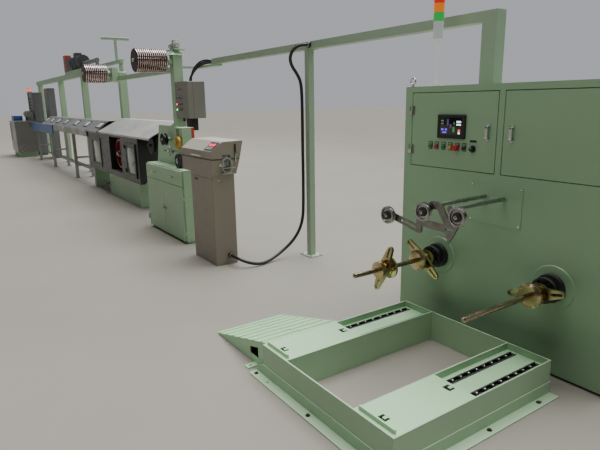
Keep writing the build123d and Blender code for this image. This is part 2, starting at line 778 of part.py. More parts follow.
def grooved_wheel(label, x, y, z, radius, width, bore, groove):
    """Wheel on an axis along Y with one rope groove; it reaches from y towards the operator."""
    with BuildPart() as wheel:
        turned(
            x,
            y,
            z,
            [
                (bore, 0),
                (radius - 3, 0),
                (radius, width * 0.08),
                (radius, width * 0.16),
                (radius - groove, width * 0.42),
                (radius - groove, width * 0.58),
                (radius, width * 0.84),
                (radius, width * 0.92),
                (radius - 3, width),
                (radius * 0.8, width),
                (radius * 0.72, width * 0.7),
                (radius * 0.44, width * 0.7),
                (radius * 0.38, width),
                (bore, width),
            ],
        )
    wheel.part.label = label
    return wheel


guide_pulleys = [
    grooved_wheel(
        label, x, traverse_y - RUNNING_GAP, z, PULLEY_RADIUS, PULLEY_WIDTH,
        PULLEY_PIN_RADIUS + SHAFT_CLEARANCE, 12,
    )
    for label, (x, z) in guide_centres.items()
]

# Loading platform: welded walls round two lanes with an open pit between them
platform_x = (CABINET_X - PLATFORM_WIDTH / 2, CABINET_X + PLATFORM_WIDTH / 2)
platform_front = FRONT_Y + FOOT_ANGLE
platform_back = platform_front + PLATFORM_LENGTH
lanes = (
    (platform_x[0] + PLATFORM_WALL, platform_x[0] + LANE_WIDTHS[0] - PLATFORM_WALL),
    (platform_x[1] - LANE_WIDTHS[1] + PLATFORM_WALL, platform_x[1] - PLATFORM_WALL),
)
pit_x = (platform_x[0] + LANE_WIDTHS[0], platform_x[1] - LANE_WIDTHS[1])
inside_y = (platform_front + PLATFORM_WALL, platform_back - PLATFORM_WALL)
ramp_front = platform_front + 28
foot_profile = [(0, 0), (FOOT_ANGLE, 0), (FOOT_ANGLE, FOOT_SHEET), (FOOT_SHEET, FOOT_SHEET),
                (FOOT_SHEET, FOOT_RISE), (0, FOOT_RISE)]
foot_bolt = FOOT_ANGLE / 2 + 2
with BuildPart() as platform_frame:
    box_between(platform_x, (platform_front, platform_back), (0, PLATFORM_HEIGHT))
    for opening_x in (lanes[0], pit_x, lanes[1]):
        box_between(opening_x, inside_y, (0, PLATFORM_HEIGHT), mode=Mode.SUBTRACT)
    prism(
        side_plane(platform_x[0] - FOOT_LEAD),
        [(platform_front - out, up) for out, up in foot_profile],
        PLATFORM_WIDTH + FOOT_LEAD,
    )
    prism(
        front_plane(platform_front),
        [
            (platform_x[0] - FOOT_LEAD, FOOT_RISE / 2),
            (platform_x[0], FOOT_RISE),
            (platform_x[0] - FOOT_LEAD, FOOT_RISE),
        ],
        FOOT_SHEET,
        mode=Mode.SUBTRACT,
    )
    prism(
        front_plane(platform_back),
        [(platform_x[1] + out, up) for out, up in foot_profile],
        PLATFORM_LENGTH + FOOT_ANGLE,
    )
    prism(
        front_plane(platform_back),
        [(platform_x[0] - out, up) for out, up in foot_profile],
        platform_back - ramp_front - RAMP_WIDTH - FOOT_ANGLE,
    )
    fillet(
        platform_frame.edges().filter_by(Axis.Z).group_by(Axis.Z)[0].sort_by(Axis.Y)[:2], FOOT_ANGLE / 3
    )
    with BuildSketch(Plane.XY) as foot_holes:
        with Locations(
            (platform_x[0] + 96, platform_front - foot_bolt),
            (platform_x[1] - 96, platform_front - foot_bolt),
            (platform_x[1] + foot_bolt, platform_front + 180),
            (platform_x[1] + foot_bolt, platform_back - 120),
        ):
            Circle(7)
    extrude(foot_holes.sketch, amount=FOOT_SHEET, mode=Mode.SUBTRACT)
platform_frame.part.label = "platform_frame"

bed_top = PLATFORM_HEIGHT - BED_DROP
deck_y = (inside_y[0], platform_front + DECK_LENGTH)
strip_y = (inside_y[1] - 16 - STRIP_LENGTH, inside_y[1] - 16)
strip_slot = STRIP_WIDTH / 2 - STRIP_LIP
with BuildPart() as platform_decks:
    for lane in lanes:
        x = sum(lane) / 2
        prism(
            side_plane(lane[0]),
            [
                (deck_y[0], PLATFORM_HEIGHT),
                (deck_y[1], PLATFORM_HEIGHT),
                (deck_y[1], bed_top),
                (inside_y[1], bed_top),
                (inside_y[1], bed_top - DECK_PLATE),
                (deck_y[1] - DECK_PLATE, bed_top - DECK_PLATE),
                (deck_y[1] - DECK_PLATE, PLATFORM_HEIGHT - DECK_PLATE),
                (deck_y[0], PLATFORM_HEIGHT - DECK_PLATE),
            ],
            lane[1] - lane[0],
        )
        for strip_x in (x - STRIP_OFFSET, x + STRIP_OFFSET):
            box_between(
                (strip_x - strip_slot, strip_x + strip_slot),
                strip_y,
                (bed_top - DECK_PLATE, bed_top),
                mode=Mode.SUBTRACT,
            )
        for hole_y in (deck_y[0] + 58, deck_y[1] - 40):
            box_between(
                (x - 24, x + 24),
                (hole_y - 21, hole_y + 21),
                (PLATFORM_HEIGHT - DECK_PLATE, PLATFORM_HEIGHT),
                mode=Mode.SUBTRACT,
            )
            box_between(
                (x - 9, x + 9), (hole_y, hole_y + 21), (PLATFORM_HEIGHT - DECK_PLATE, PLATFORM_HEIGHT - 1)
            )
        box_between(
            (lane[0] + 10, lane[1] - 10),
            (deck_y[0] + 14, deck_y[0] + 24),
            (PLATFORM_HEIGHT, PLATFORM_HEIGHT + DECK_BAR_HEIGHT),
        )
platform_decks.part.label = "platform_decks"

# Roller channels hung by their lips in slots of the beds
channel_outer = strip_slot - 0.4
channel_inner = channel_outer - STRIP_SHEET
channel_floor = bed_top - STRIP_DEPTH
with BuildPart() as roller_beds:
    for lane in lanes:
        for strip_x in (sum(lane) / 2 - STRIP_OFFSET, sum(lane) / 2 + STRIP_OFFSET):
            prism(
                front_plane(strip_y[1] - 1),
                [
                    (strip_x - STRIP_WIDTH / 2, bed_top),
                    (strip_x - channel_outer, bed_top),
                    (strip_x - channel_outer, channel_floor),
                    (strip_x + channel_outer, channel_floor),
                    (strip_x + channel_outer, bed_top),
                    (strip_x + STRIP_WIDTH / 2, bed_top),
                    (strip_x + STRIP_WIDTH / 2, bed_top + STRIP_SHEET),
                    (strip_x + channel_inner, bed_top + STRIP_SHEET),
                    (strip_x + channel_inner, channel_floor + STRIP_SHEET),
                    (strip_x - channel_inner, channel_floor + STRIP_SHEET),
                    (strip_x - channel_inner, bed_top + STRIP_SHEET),
                    (strip_x - STRIP_WIDTH / 2, bed_top + STRIP_SHEET),
                ],
                STRIP_LENGTH - 2,
            )
roller_beds.part.label = "roller_beds"

# Ramp of folded sheet between two cheeks, with grip bars in two staggered rows
ramp_toe = platform_x[0] - RAMP_RUN
ramp_top = platform_x[0]
ramp_back = ramp_front + RAMP_WIDTH
ramp_slope = PLATFORM_HEIGHT / RAMP_RUN
hole_x = (ramp_top - RAMP_HOLE_DISTANCE - RAMP_HOLE_WIDTH, ramp_top - RAMP_HOLE_DISTANCE)
with BuildPart() as loading_ramp:
    prism(
        front_plane(ramp_back),
        [
            (ramp_toe, 0),
            (ramp_top, PLATFORM_HEIGHT),
            (ramp_top, PLATFORM_HEIGHT - 40),
            (ramp_top - RAMP_SHEET, PLATFORM_HEIGHT - 40),
            (ramp_top - RAMP_SHEET, PLATFORM_HEIGHT - 2 * RAMP_SHEET),
            (ramp_toe + 3 * RAMP_SHEET / ramp_slope / 2, 0),
        ],
        RAMP_WIDTH,
    )
    for cheek_y in (ramp_front + RAMP_SHEET, ramp_back):
        prism(
            front_plane(cheek_y),
            [(ramp_toe, 0), (ramp_top, 0), (ramp_top, PLATFORM_HEIGHT)],
            RAMP_SHEET,
        )
        prism(
            front_plane(cheek_y),
            [
                (hole_x[0], RAMP_HOLE_BOTTOM),
                (hole_x[1], RAMP_HOLE_BOTTOM),
                (hole_x[1], (hole_x[1] - ramp_toe) * ramp_slope - RAMP_HOLE_CLEAR),
                (hole_x[0], (hole_x[0] - ramp_toe) * ramp_slope - RAMP_HOLE_CLEAR),
            ],
            RAMP_SHEET,
            mode=Mode.SUBTRACT,
        )
    middle_y = (ramp_front + ramp_back) / 2
    for bar in range(RAMP_BARS):
        for bar_y, stagger in (((ramp_front - 3, middle_y + 6), 0), ((middle_y - 6, ramp_back + 3), 1)):
            bar_x = ramp_toe + RAMP_BAR_START + bar * RAMP_BAR_PITCH + stagger * RAMP_BAR_STAGGER
            low = (bar_x - RAMP_BAR_WIDTH / 2 - ramp_toe) * ramp_slope
            high = (bar_x + RAMP_BAR_WIDTH / 2 - ramp_toe) * ramp_slope
            prism(
                front_plane(bar_y[1]),
                [
                    (bar_x - RAMP_BAR_WIDTH / 2, low - RAMP_SHEET),
                    (bar_x + RAMP_BAR_WIDTH / 2, high - RAMP_SHEET),
                    (bar_x + RAMP_BAR_WIDTH / 2, high + RAMP_BAR_HEIGHT - 2),
                    (bar_x, (low + high) / 2 + RAMP_BAR_HEIGHT),
                    (bar_x - RAMP_BAR_WIDTH / 2, low + RAMP_BAR_HEIGHT - 2),
                ],
                bar_y[1] - bar_y[0],
            )
    with BuildSketch(Plane.XY) as floor_lug:
        with Locations((ramp_top - 136, ramp_front + 1 - RAMP_LUG_REACH / 2)):
            Rectangle(RAMP_LUG_LENGTH, RAMP_LUG_REACH)
        with Locations((ramp_top - 136, ramp_front - 42)):
            Circle(9, mode=Mode.SUBTRACT)
    extrude(floor_lug.sketch, amount=RAMP_SHEET)
loading_ramp.part.label = "loading_ramp"

# Overhead cable trunk on its post, with the duct that drops to the take-up cabinet
trunk_back = TRUNK_FRONT + TRUNK_DEPTH
trunk_bottom = TRUNK_TOP - TRUNK_HEIGHT
trunk_start = TRUNK_END_X - TRUNK_LENGTH
post_y = TRUNK_FRONT + POST_SECTION / 2
post_plate = POST_SECTION + 2 * POST_PLATE_MARGIN
hose_exit = (POST_X + 55, TRUNK_FRONT - GLAND_LENGTH, TRUNK_TOP - HOSE_EXIT_DROP)
with BuildPart() as cable_trunk:
    prism(
        front_plane(trunk_back),
        [
            (trunk_start, TRUNK_TOP),
            (TRUNK_END_X, TRUNK_TOP),
            (TRUNK_END_X, CABINET_HEIGHT),
            (TRUNK_END_X - TRUNK_DUCT_WIDTH, CABINET_HEIGHT),
            (TRUNK_END_X - TRUNK_DUCT_WIDTH, trunk_bottom),
            (trunk_start, trunk_bottom),
        ],
        TRUNK_DEPTH,
    )
    with BuildSketch(Plane.XY) as post_section:
        with Locations((POST_X, post_y)):
            RectangleRounded(POST_SECTION, POST_SECTION, POST_SECTION / 12)
    extrude(post_section.sketch, amount=trunk_bottom)
    with BuildSketch(Plane.XY) as post_foot:
        with Locations((POST_X, post_y)):
            Rectangle(post_plate, post_plate * 0.8)
            with GridLocations(post_plate - 2 * POST_PLATE, post_plate * 0.8 - 2 * POST_PLATE, 2, 2):
                Circle(POST_PLATE / 2, mode=Mode.SUBTRACT)
    extrude(post_foot.sketch, amount=POST_PLATE)
    box_between(
        (POST_X - POST_SECTION, POST_X + POST_SECTION),
        (TRUNK_FRONT, trunk_back),
        (trunk_bottom - TRUNK_BRACE, trunk_bottom),
    )
    round_bar((hose_exit[0], TRUNK_FRONT, hose_exit[2]), hose_exit, GLAND_RADIUS)
cable_trunk.part.label = "cable_trunk"

# Spark tester on its pedestal
tester_x = (TESTER_X - TESTER_LENGTH, TESTER_X)
channel_y = (WIRE_Y - CHANNEL_WIDTH / 2, WIRE_Y + CHANNEL_WIDTH / 2)
pedestal_x = (TESTER_X - 6 - PEDESTAL_WIDTH, TESTER_X - 6)
gland_z = 90
with BuildPart() as tester_pedestal:
    with BuildSketch(Plane.XY):
        with Locations((sum(pedestal_x) / 2, TESTER_FRONT + PEDESTAL_DEPTH / 2)):
            RectangleRounded(PEDESTAL_WIDTH, PEDESTAL_DEPTH, 5)
    extrude(amount=TESTER_BOTTOM)
    round_bar((pedestal_x[1], WIRE_Y, gland_z), (pedestal_x[1] + GLAND_LENGTH, WIRE_Y, gland_z), GLAND_RADIUS)
tester_pedestal.part.label = "tester_pedestal"

LID_SLOPE_Y = TESTER_FRONT + 120
with BuildPart() as tester_head:
    prism(
        side_plane(tester_x[0]),
        [
            (TESTER_FRONT, TESTER_BOTTOM),
            (TESTER_BACK_FOOT, TESTER_BOTTOM),
            (TESTER_BACK_SEAM, TESTER_SEAM - 2),
            (channel_y[1], TESTER_SEAM - 2),
            (channel_y[1], CHANNEL_FLOOR),
            (channel_y[0], CHANNEL_FLOOR),
            (channel_y[0], TESTER_SEAM - 2),
            (TESTER_FRONT, TESTER_SEAM - 2),
        ],
        TESTER_LENGTH,
    )
    lid_axis = (TESTER_BACK_SEAM + HINGE_RADIUS + HINGE_STAND_OFF, TESTER_SEAM)
    for x in (tester_x[0] + 120, tester_x[1] - 180):
        box_between((x, x + 30), (TESTER_BACK_SEAM - 12, lid_axis[0]), (TESTER_SEAM - 30, TESTER_SEAM - 2))
        round_bar((x, *lid_axis), (x + 30, *lid_axis), HINGE_RADIUS)
        round_bar((x, *lid_axis), (x + HINGE_LENGTH, *lid_axis), HINGE_PIN_RADIUS)
tester_head.part.label = "tester_head"

with BuildPart() as tester_lid:
    prism(
        side_plane(tester_x[0]),
        [
            (TESTER_FRONT, TESTER_SEAM),
            (channel_y[0], TESTER_SEAM),
            (channel_y[0], CHANNEL_TOP),
            (channel_y[1], CHANNEL_TOP),
            (channel_y[1], TESTER_SEAM),
            (TESTER_BACK_SEAM, TESTER_SEAM),
            (TESTER_BACK_TOP, TESTER_TOP),
            (LID_SLOPE_Y, TESTER_TOP - 5),
            (TESTER_FRONT, TESTER_BROW),
        ],
        TESTER_LENGTH,
    )
    for x in (tester_x[0] + 120, tester_x[1] - 180):
        box_between(
            (x + 31, x + HINGE_LENGTH),
            (TESTER_BACK_SEAM - 1, lid_axis[0]),
            (TESTER_SEAM, TESTER_SEAM + HINGE_RADIUS),
        )
        round_bar((x + 31, *lid_axis), (x + HINGE_LENGTH, *lid_axis), HINGE_RADIUS)
        round_bar(
            (x + 31, *lid_axis),
            (x + HINGE_LENGTH, *lid_axis),
            HINGE_PIN_RADIUS + SHAFT_CLEARANCE,
            mode=Mode.SUBTRACT,
        )
tester_lid.part.label = "tester_lid"

with BuildPart() as electrode_guard:
    guard_z = CHANNEL_FLOOR + GUARD_HEIGHT / 2 - 35
    for arch_x in (TESTER_X, TESTER_X + 22):
        with BuildSketch(side_plane(arch_x)) as arch:
            with Locations((WIRE_Y, guard_z)):
                SlotOverall(GUARD_HEIGHT, GUARD_WIDTH, rotation=90)
                SlotOverall(
                    GUARD_HEIGHT - 2 * GUARD_BAR,
                    GUARD_WIDTH - 2 * GUARD_BAR,
                    rotation=90,
                    mode=Mode.SUBTRACT,
                )
        extrude(arch.sketch, amount=6)
    guard_low = guard_z - GUARD_HEIGHT / 2
    box_between((TESTER_X, TESTER_X + 28), (WIRE_Y - 58, WIRE_Y + 58), (guard_low - 4, guard_low + 4))
electrode_guard.part.label = "electrode_guard"

# Tool cabinet with two drawers over two doors
tools_x = (TOOLS_X - TOOLS_WIDTH / 2, TOOLS_X + TOOLS_WIDTH / 2)
tools_back = TOOLS_FRONT + TOOLS_DEPTH
carcass_front = TOOLS_FRONT + TOOLS_WALL + 1
drawer_z = (TOOLS_HEIGHT - TOOLS_WALL - DRAWER_HEIGHT, TOOLS_HEIGHT - TOOLS_WALL)
bay_z = (TOOLS_BASE + TOOLS_WALL, drawer_z[0] - TOOLS_WALL)
bay_x = (
    (tools_x[0] + TOOLS_WALL, TOOLS_X - TOOLS_WALL / 2),
    (TOOLS_X + TOOLS_WALL / 2, tools_x[1] - TOOLS_WALL),
)
tool_front_gap = DOOR_GAP / 2
tool_hinge_x = (tools_x[0], tools_x[1])
tool_hinge_z = (bay_z[0] + 90, bay_z[1] - 110)
with BuildPart() as tool_cabinet:
    box_between(tools_x, (carcass_front, tools_back), (TOOLS_BASE, TOOLS_HEIGHT))
    box_between(
        (tools_x[0] + TOOLS_BASE_INSET, tools_x[1] - TOOLS_BASE_INSET),
        (carcass_front + TOOLS_BASE_INSET, tools_back - TOOLS_BASE_INSET),
        (0, TOOLS_BASE),
    )
    for x in bay_x:
        box_between(x, (carcass_front, tools_back - TOOLS_WALL), bay_z, mode=Mode.SUBTRACT)
        box_between(x, (carcass_front, tools_back - TOOLS_WALL), drawer_z, mode=Mode.SUBTRACT)
    for x, side in zip(tool_hinge_x, (1, -1)):
        for z in tool_hinge_z:
            knuckle_y = TOOLS_FRONT - HINGE_RADIUS - HINGE_STAND_OFF
            wall = sorted((x, x - side * HINGE_SHEET))
            box_between(
                wall,
                (knuckle_y, carcass_front + HINGE_LEAF),
                (z - HINGE_LENGTH / 2, z - HINGE_STAND_OFF),
            )
            round_bar((x, knuckle_y, z - HINGE_LENGTH / 2), (x, knuckle_y, z - HINGE_STAND_OFF), HINGE_RADIUS)
            round_bar(
                (x, knuckle_y, z - HINGE_LENGTH / 2),
                (x, knuckle_y, z + HINGE_LENGTH / 2),
                HINGE_PIN_RADIUS,
            )
tool_cabinet.part.label = "tool_cabinet"


def tool_drawer(label, bay):
    """Open tray behind an overlay front with a bow handle."""
    front_x = (bay[0] - TOOLS_WALL / 2 + tool_front_gap, bay[1] + TOOLS_WALL / 2 - tool_front_gap)
    tray_x = (bay[0] + DOOR_GAP, bay[1] - DOOR_GAP)
    tray_y = (TOOLS_FRONT + TOOLS_WALL, tools_back - TOOLS_WALL - 20)
    tray_z = (drawer_z[0] + 0.3, drawer_z[1] - 12)
    middle = sum(bay) / 2
    with BuildPart() as drawer:
        box_between(front_x, (TOOLS_FRONT, TOOLS_FRONT + TOOLS_WALL), (drawer_z[0] - 8, drawer_z[1] + 8))
        box_between(tray_x, tray_y, tray_z)
        box_between(
            (tray_x[0] + 4, tray_x[1] - 4),
            (tray_y[0], tray_y[1] - 4),
            (tray_z[0] + 4, tray_z[1]),
            mode=Mode.SUBTRACT,
        )
        for x in (middle - 50, middle + 44):
            box_between((x, x + 6), (TOOLS_FRONT - 25, TOOLS_FRONT), (drawer_z[0] + 68, drawer_z[0] + 80))
        box_between(
            (middle - 50, middle + 50),
            (TOOLS_FRONT - 31, TOOLS_FRONT - 25),
            (drawer_z[0] + 68, drawer_z[0] + 80),
        )
    drawer.part.label = label
    return drawer


tool_drawer_left = tool_drawer("tool_drawer_left", bay_x[0])
tool_drawer_right = tool_drawer("tool_drawer_right", bay_x[1])


def tool_door(label, bay, hinge_x, leaf_side):
    """Overlay cupboard door with two hinge straps and a recessed latch."""
    edges_x = (bay[0] - TOOLS_WALL / 2 + tool_front_gap, bay[1] + TOOLS_WALL / 2 - tool_front_gap)
    latch_x = edges_x[1] - 40 if leaf_side > 0 else edges_x[0] + 40
    with BuildPart() as door:
        box_between(edges_x, (TOOLS_FRONT, TOOLS_FRONT + TOOLS_WALL), (bay_z[0] - 12, bay_z[1] + 6))
        with BuildSketch(front_plane(TOOLS_FRONT + 4)):
            with Locations((latch_x, sum(bay_z) / 2)):
                RectangleRounded(30, 90, 8)
        extrude(amount=4, mode=Mode.SUBTRACT)
        for z in tool_hinge_z:
            hinge_moving(hinge_x, TOOLS_FRONT, z, leaf_side)
    door.part.label = label
    return door


tool_door_left = tool_door("tool_door_left", bay_x[0], tool_hinge_x[0], 1)
tool_door_right = tool_door("tool_door_right", bay_x[1], tool_hinge_x[1], -1)

# Tapered wheel stand with the length meter beside it on the tool cabinet
stand_x = (STAND_RIGHT - STAND_BASE_WIDTH, STAND_RIGHT)
stand_wheel_z = TOOLS_HEIGHT + STAND_WHEEL_RISE
meter_x = (STAND_RIGHT, STAND_RIGHT + METER_WIDTH)
meter_z = TOOLS_HEIGHT + METER_RISE
pressure_z = TOOLS_HEIGHT + PRESSURE_RISE
recess_floor = METER_FRONT + 60
with BuildPart() as wheel_stand:
    prism(
        front_plane(STAND_Y + STAND_SHEET),
        [
            (stand_x[0], TOOLS_HEIGHT),
            (stand_x[1], TOOLS_HEIGHT),
            (stand_x[1], TOOLS_HEIGHT + STAND_HEIGHT),
            (stand_x[1] - STAND_TOP_WIDTH, TOOLS_HEIGHT + STAND_HEIGHT),
        ],
        STAND_SHEET,
    )
    box_between(stand_x, (STAND_Y, STAND_Y + STAND_FOOT_DEPTH), (TOOLS_HEIGHT, TOOLS_HEIGHT + STAND_SHEET))
    round_bar(
        (STAND_WHEEL_X, STAND_Y, stand_wheel_z),
        (STAND_WHEEL_X, WIRE_Y - STAND_WHEEL_WIDTH / 2 - STAND_SHEET, stand_wheel_z),
        WHEEL_SHAFT_RADIUS,
    )
    round_bar(
        (STAND_WHEEL_X, STAND_Y, stand_wheel_z),
        (STAND_WHEEL_X, WIRE_Y + STAND_WHEEL_WIDTH / 2 + RUNNING_GAP, stand_wheel_z),
        WHEEL_SHAFT_RADIUS * 2,
    )
    box_between(meter_x, (METER_FRONT, METER_BACK), (TOOLS_HEIGHT, TOOLS_HEIGHT + METER_HEIGHT))
    box_between(
        (meter_x[0] + 25, meter_x[0] + 120),
        (METER_FRONT, recess_floor),
        (TOOLS_HEIGHT + METER_RECESS_RISE, TOOLS_HEIGHT + METER_HEIGHT - 15),
        mode=Mode.SUBTRACT,
    )
    for x, z, rim in ((METER_X, meter_z, METER_RIM), (PRESSURE_X, pressure_z, PRESSURE_RIM)):
        round_bar((x, METER_BACK, z), (x, WIRE_Y - rim / 2 - STAND_SHEET, z), WHEEL_SHAFT_RADIUS)
wheel_stand.part.label = "wheel_stand"

stand_pulley = grooved_wheel(
    "stand_pulley", STAND_WHEEL_X, WIRE_Y + STAND_WHEEL_WIDTH / 2, stand_wheel_z, STAND_WHEEL_RADIUS,
    STAND_WHEEL_WIDTH, WHEEL_SHAFT_RADIUS + SHAFT_CLEARANCE, 22,
)
measuring_wheel = grooved_wheel(
    "measuring_wheel", METER_X, WIRE_Y + METER_RIM / 2, meter_z, METER_RADIUS, METER_RIM,
    WHEEL_SHAFT_RADIUS + SHAFT_CLEARANCE, 4,
)
pressure_wheel = grooved_wheel(
    "pressure_wheel", PRESSURE_X, WIRE_Y + PRESSURE_RIM / 2, pressure_z, PRESSURE_RADIUS, PRESSURE_RIM,
    WHEEL_SHAFT_RADIUS + SHAFT_CLEARANCE, 5,
)

# Post of the wire store with its hipped cap and its control box
half_post = STORE_POST_SECTION / 2
post_front = STORE_POST_Y - half_post
post_right = STORE_POST_X + half_post
with BuildPart() as store_post:
    with BuildSketch(Plane.XY) as store_post_section:
        with Locations((STORE_POST_X, STORE_POST_Y)):
            RectangleRounded(STORE_POST_SECTION, STORE_POST_SECTION, STORE_POST_SECTION / 16)
    extrude(store_post_section.sketch, amount=STORE_POST_HEIGHT)
    with BuildSketch(Plane.XY) as store_plate:
        with Locations((STORE_POST_X, STORE_POST_Y)):
            Rectangle(STORE_POST_SECTION + 2 * STORE_POST_MARGIN, STORE_POST_SECTION + 2 * STORE_POST_MARGIN)
    extrude(store_plate.sketch, amount=STORE_POST_PLATE)
    with BuildSketch(Plane.XY.offset(STORE_POST_HEIGHT)) as cap_base:
        with Locations((STORE_POST_X, STORE_POST_Y)):
            Rectangle(STORE_CAP_WIDTH, STORE_CAP_WIDTH)
    extrude(cap_base.sketch, amount=STORE_CAP_HEIGHT, taper=STORE_CAP_ANGLE)
    box_between(
        (STORE_POST_X - TRUNK_ARM_WIDTH / 2, STORE_POST_X + TRUNK_ARM_WIDTH / 2),
        (STORE_POST_Y + half_post, trunk_back),
        (trunk_bottom - TRUNK_ARM_THICKNESS, trunk_bottom),
    )
    box_between(
        (STORE_POST_X - TRUNK_ARM_WIDTH / 2, trunk_start + TRUNK_ARM_LAP),
        (TRUNK_FRONT, trunk_back),
        (trunk_bottom - TRUNK_ARM_THICKNESS, trunk_bottom),
    )
    round_bar(
        (STORE_POST_X, post_front, NEAR_ROLLER_Z),
        (STORE_POST_X, NEAR_ROLLER_Y[0] - 20, NEAR_ROLLER_Z),
        STORE_SHAFT_RADIUS,
    )
    round_bar(
        (STORE_POST_X, post_front, NEAR_ROLLER_Z),
        (STORE_POST_X, NEAR_ROLLER_Y[1] + RUNNING_GAP, NEAR_ROLLER_Z),
        STORE_SHAFT_RADIUS * 2,
    )
store_post.part.label = "store_post"

with BuildPart() as control_box:
    with BuildSketch(front_plane(CONTROL_BOX_Y[1])) as box_outline:
        with Locations((post_right + CONTROL_BOX_WIDTH / 2, sum(CONTROL_BOX_Z) / 2)):
            RectangleRounded(CONTROL_BOX_WIDTH, CONTROL_BOX_Z[1] - CONTROL_BOX_Z[0], 8)
    extrude(box_outline.sketch, amount=CONTROL_BOX_Y[1] - CONTROL_BOX_Y[0])
    for lamp_offset in CONTROL_LAMP_X:
        for z in CONTROL_LAMP_Z:
            turned(
                post_right + lamp_offset,
                CONTROL_BOX_Y[0],
                z,
                [(0, 0), (20, 0), (20, 4), (15, 6), (13, 20), (0, 20)],
            )
control_box.part.label = "control_box"


def store_roller(label, x, z, span, grooves):
    """Long roller of the wire store with a rounded ridge beside each groove, on an axis along Y."""
    length = span[1] - span[0]
    pitch = length / grooves
    bore = STORE_SHAFT_RADIUS + SHAFT_CLEARANCE
    profile = [(bore, 0)]
    for groove in range(grooves):
        start = groove * pitch
        profile.append((STORE_RADIUS - STORE_GROOVE, start))
        profile.append((STORE_RADIUS - STORE_GROOVE / 4, start + pitch * 0.25))
        profile.append((STORE_RADIUS, start + pitch * 0.5))
        profile.append((STORE_RADIUS - STORE_GROOVE / 4, start + pitch * 0.75))
    profile.extend([(STORE_RADIUS - STORE_GROOVE, length), (bore, length)])
    with BuildPart() as roller:
        turned(x, span[1], z, profile)
    roller.part.label = label
    return roller


near_roller = store_roller("near_roller", STORE_POST_X, NEAR_ROLLER_Z, NEAR_ROLLER_Y, 15)
far_roller = store_roller("far_roller", FAR_ROLLER_X, FAR_ROLLER_Z, FAR_ROLLER_Y, 12)

# Gantry behind the trough: columns, light beam, deeper beam under the drive and a rail to the last column
half_column = COLUMN_SECTION / 2
column_plate = half_column + COLUMN_PLATE_MARGIN
beam_y = (GANTRY_Y - BEAM_DEPTH / 2, GANTRY_Y + BEAM_DEPTH / 2)
column_face = (GANTRY_Y - half_column, GANTRY_Y + half_column)
drive_beam_top = BEAM_BOTTOM + DRIVE_BEAM_HEIGHT
half_rail = UPPER_RAIL_SECTION / 2
upper_rail_top = UPPER_RAIL_BOTTOM + UPPER_RAIL_SECTION
last_column = COLUMN_X[3]
with BuildPart() as gantry_frame:
    for x, top in zip(COLUMN_X, (BEAM_BOTTOM, BEAM_BOTTOM, BEAM_BOTTOM, LAST_COLUMN_HEIGHT)):
        box_between((x - half_column, x + half_column), column_face, (COLUMN_PLATE, top))
        box_between(
            (x - column_plate, x + column_plate),
            (GANTRY_Y - column_plate, GANTRY_Y + column_plate),
            (0, COLUMN_PLATE),
        )
    fillet(gantry_frame.edges().filter_by(Axis.Y).group_by(Axis.X)[-2].sort_by(Axis.Z)[-1], half_column / 2)
    box_between(
        (COLUMN_X[0] - 5 * half_column, DRIVE_BEAM_X[0]),
        beam_y,
        (BEAM_BOTTOM, BEAM_BOTTOM + BEAM_HEIGHT),
    )
    box_between(DRIVE_BEAM_X, beam_y, (BEAM_BOTTOM, drive_beam_top))
    box_between(
        (last_column - half_rail, last_column + half_rail),
        (GANTRY_Y - half_rail, GANTRY_Y + half_rail),
        (LAST_COLUMN_HEIGHT, UPPER_RAIL_BOTTOM),
    )
    box_between(
        (DRIVE_BEAM_X[1], last_column + 80),
        (GANTRY_Y - half_rail, GANTRY_Y + half_rail),
        (UPPER_RAIL_BOTTOM, upper_rail_top),
    )
gantry_frame.part.label = "gantry_frame"

with BuildPart() as store_rail:
    box_between((last_column - UPPER_RAIL_SECTION, STORE_POST_X - half_post), RAIL_Y, RAIL_Z)
    box_between(
        (last_column - UPPER_RAIL_SECTION, last_column + UPPER_RAIL_SECTION),
        (RAIL_Y[1], column_face[0]),
        RAIL_Z,
    )
    box_between(
        (FAR_ROLLER_X - CARRIAGE_WIDTH / 2, FAR_ROLLER_X + CARRIAGE_WIDTH / 2),
        (RAIL_Y[0] - CARRIAGE_DEPTH, RAIL_Y[0]),
        CARRIAGE_Z,
    )
    carriage_face = RAIL_Y[0] - CARRIAGE_DEPTH
    round_bar(
        (FAR_ROLLER_X, carriage_face, FAR_ROLLER_Z),
        (FAR_ROLLER_X, FAR_ROLLER_Y[0] - 20, FAR_ROLLER_Z),
        STORE_SHAFT_RADIUS,
    )
    round_bar(
        (FAR_ROLLER_X, carriage_face, FAR_ROLLER_Z),
        (FAR_ROLLER_X, FAR_ROLLER_Y[1] + RUNNING_GAP, FAR_ROLLER_Z),
        STORE_SHAFT_RADIUS * 2,
    )
store_rail.part.label = "store_rail"

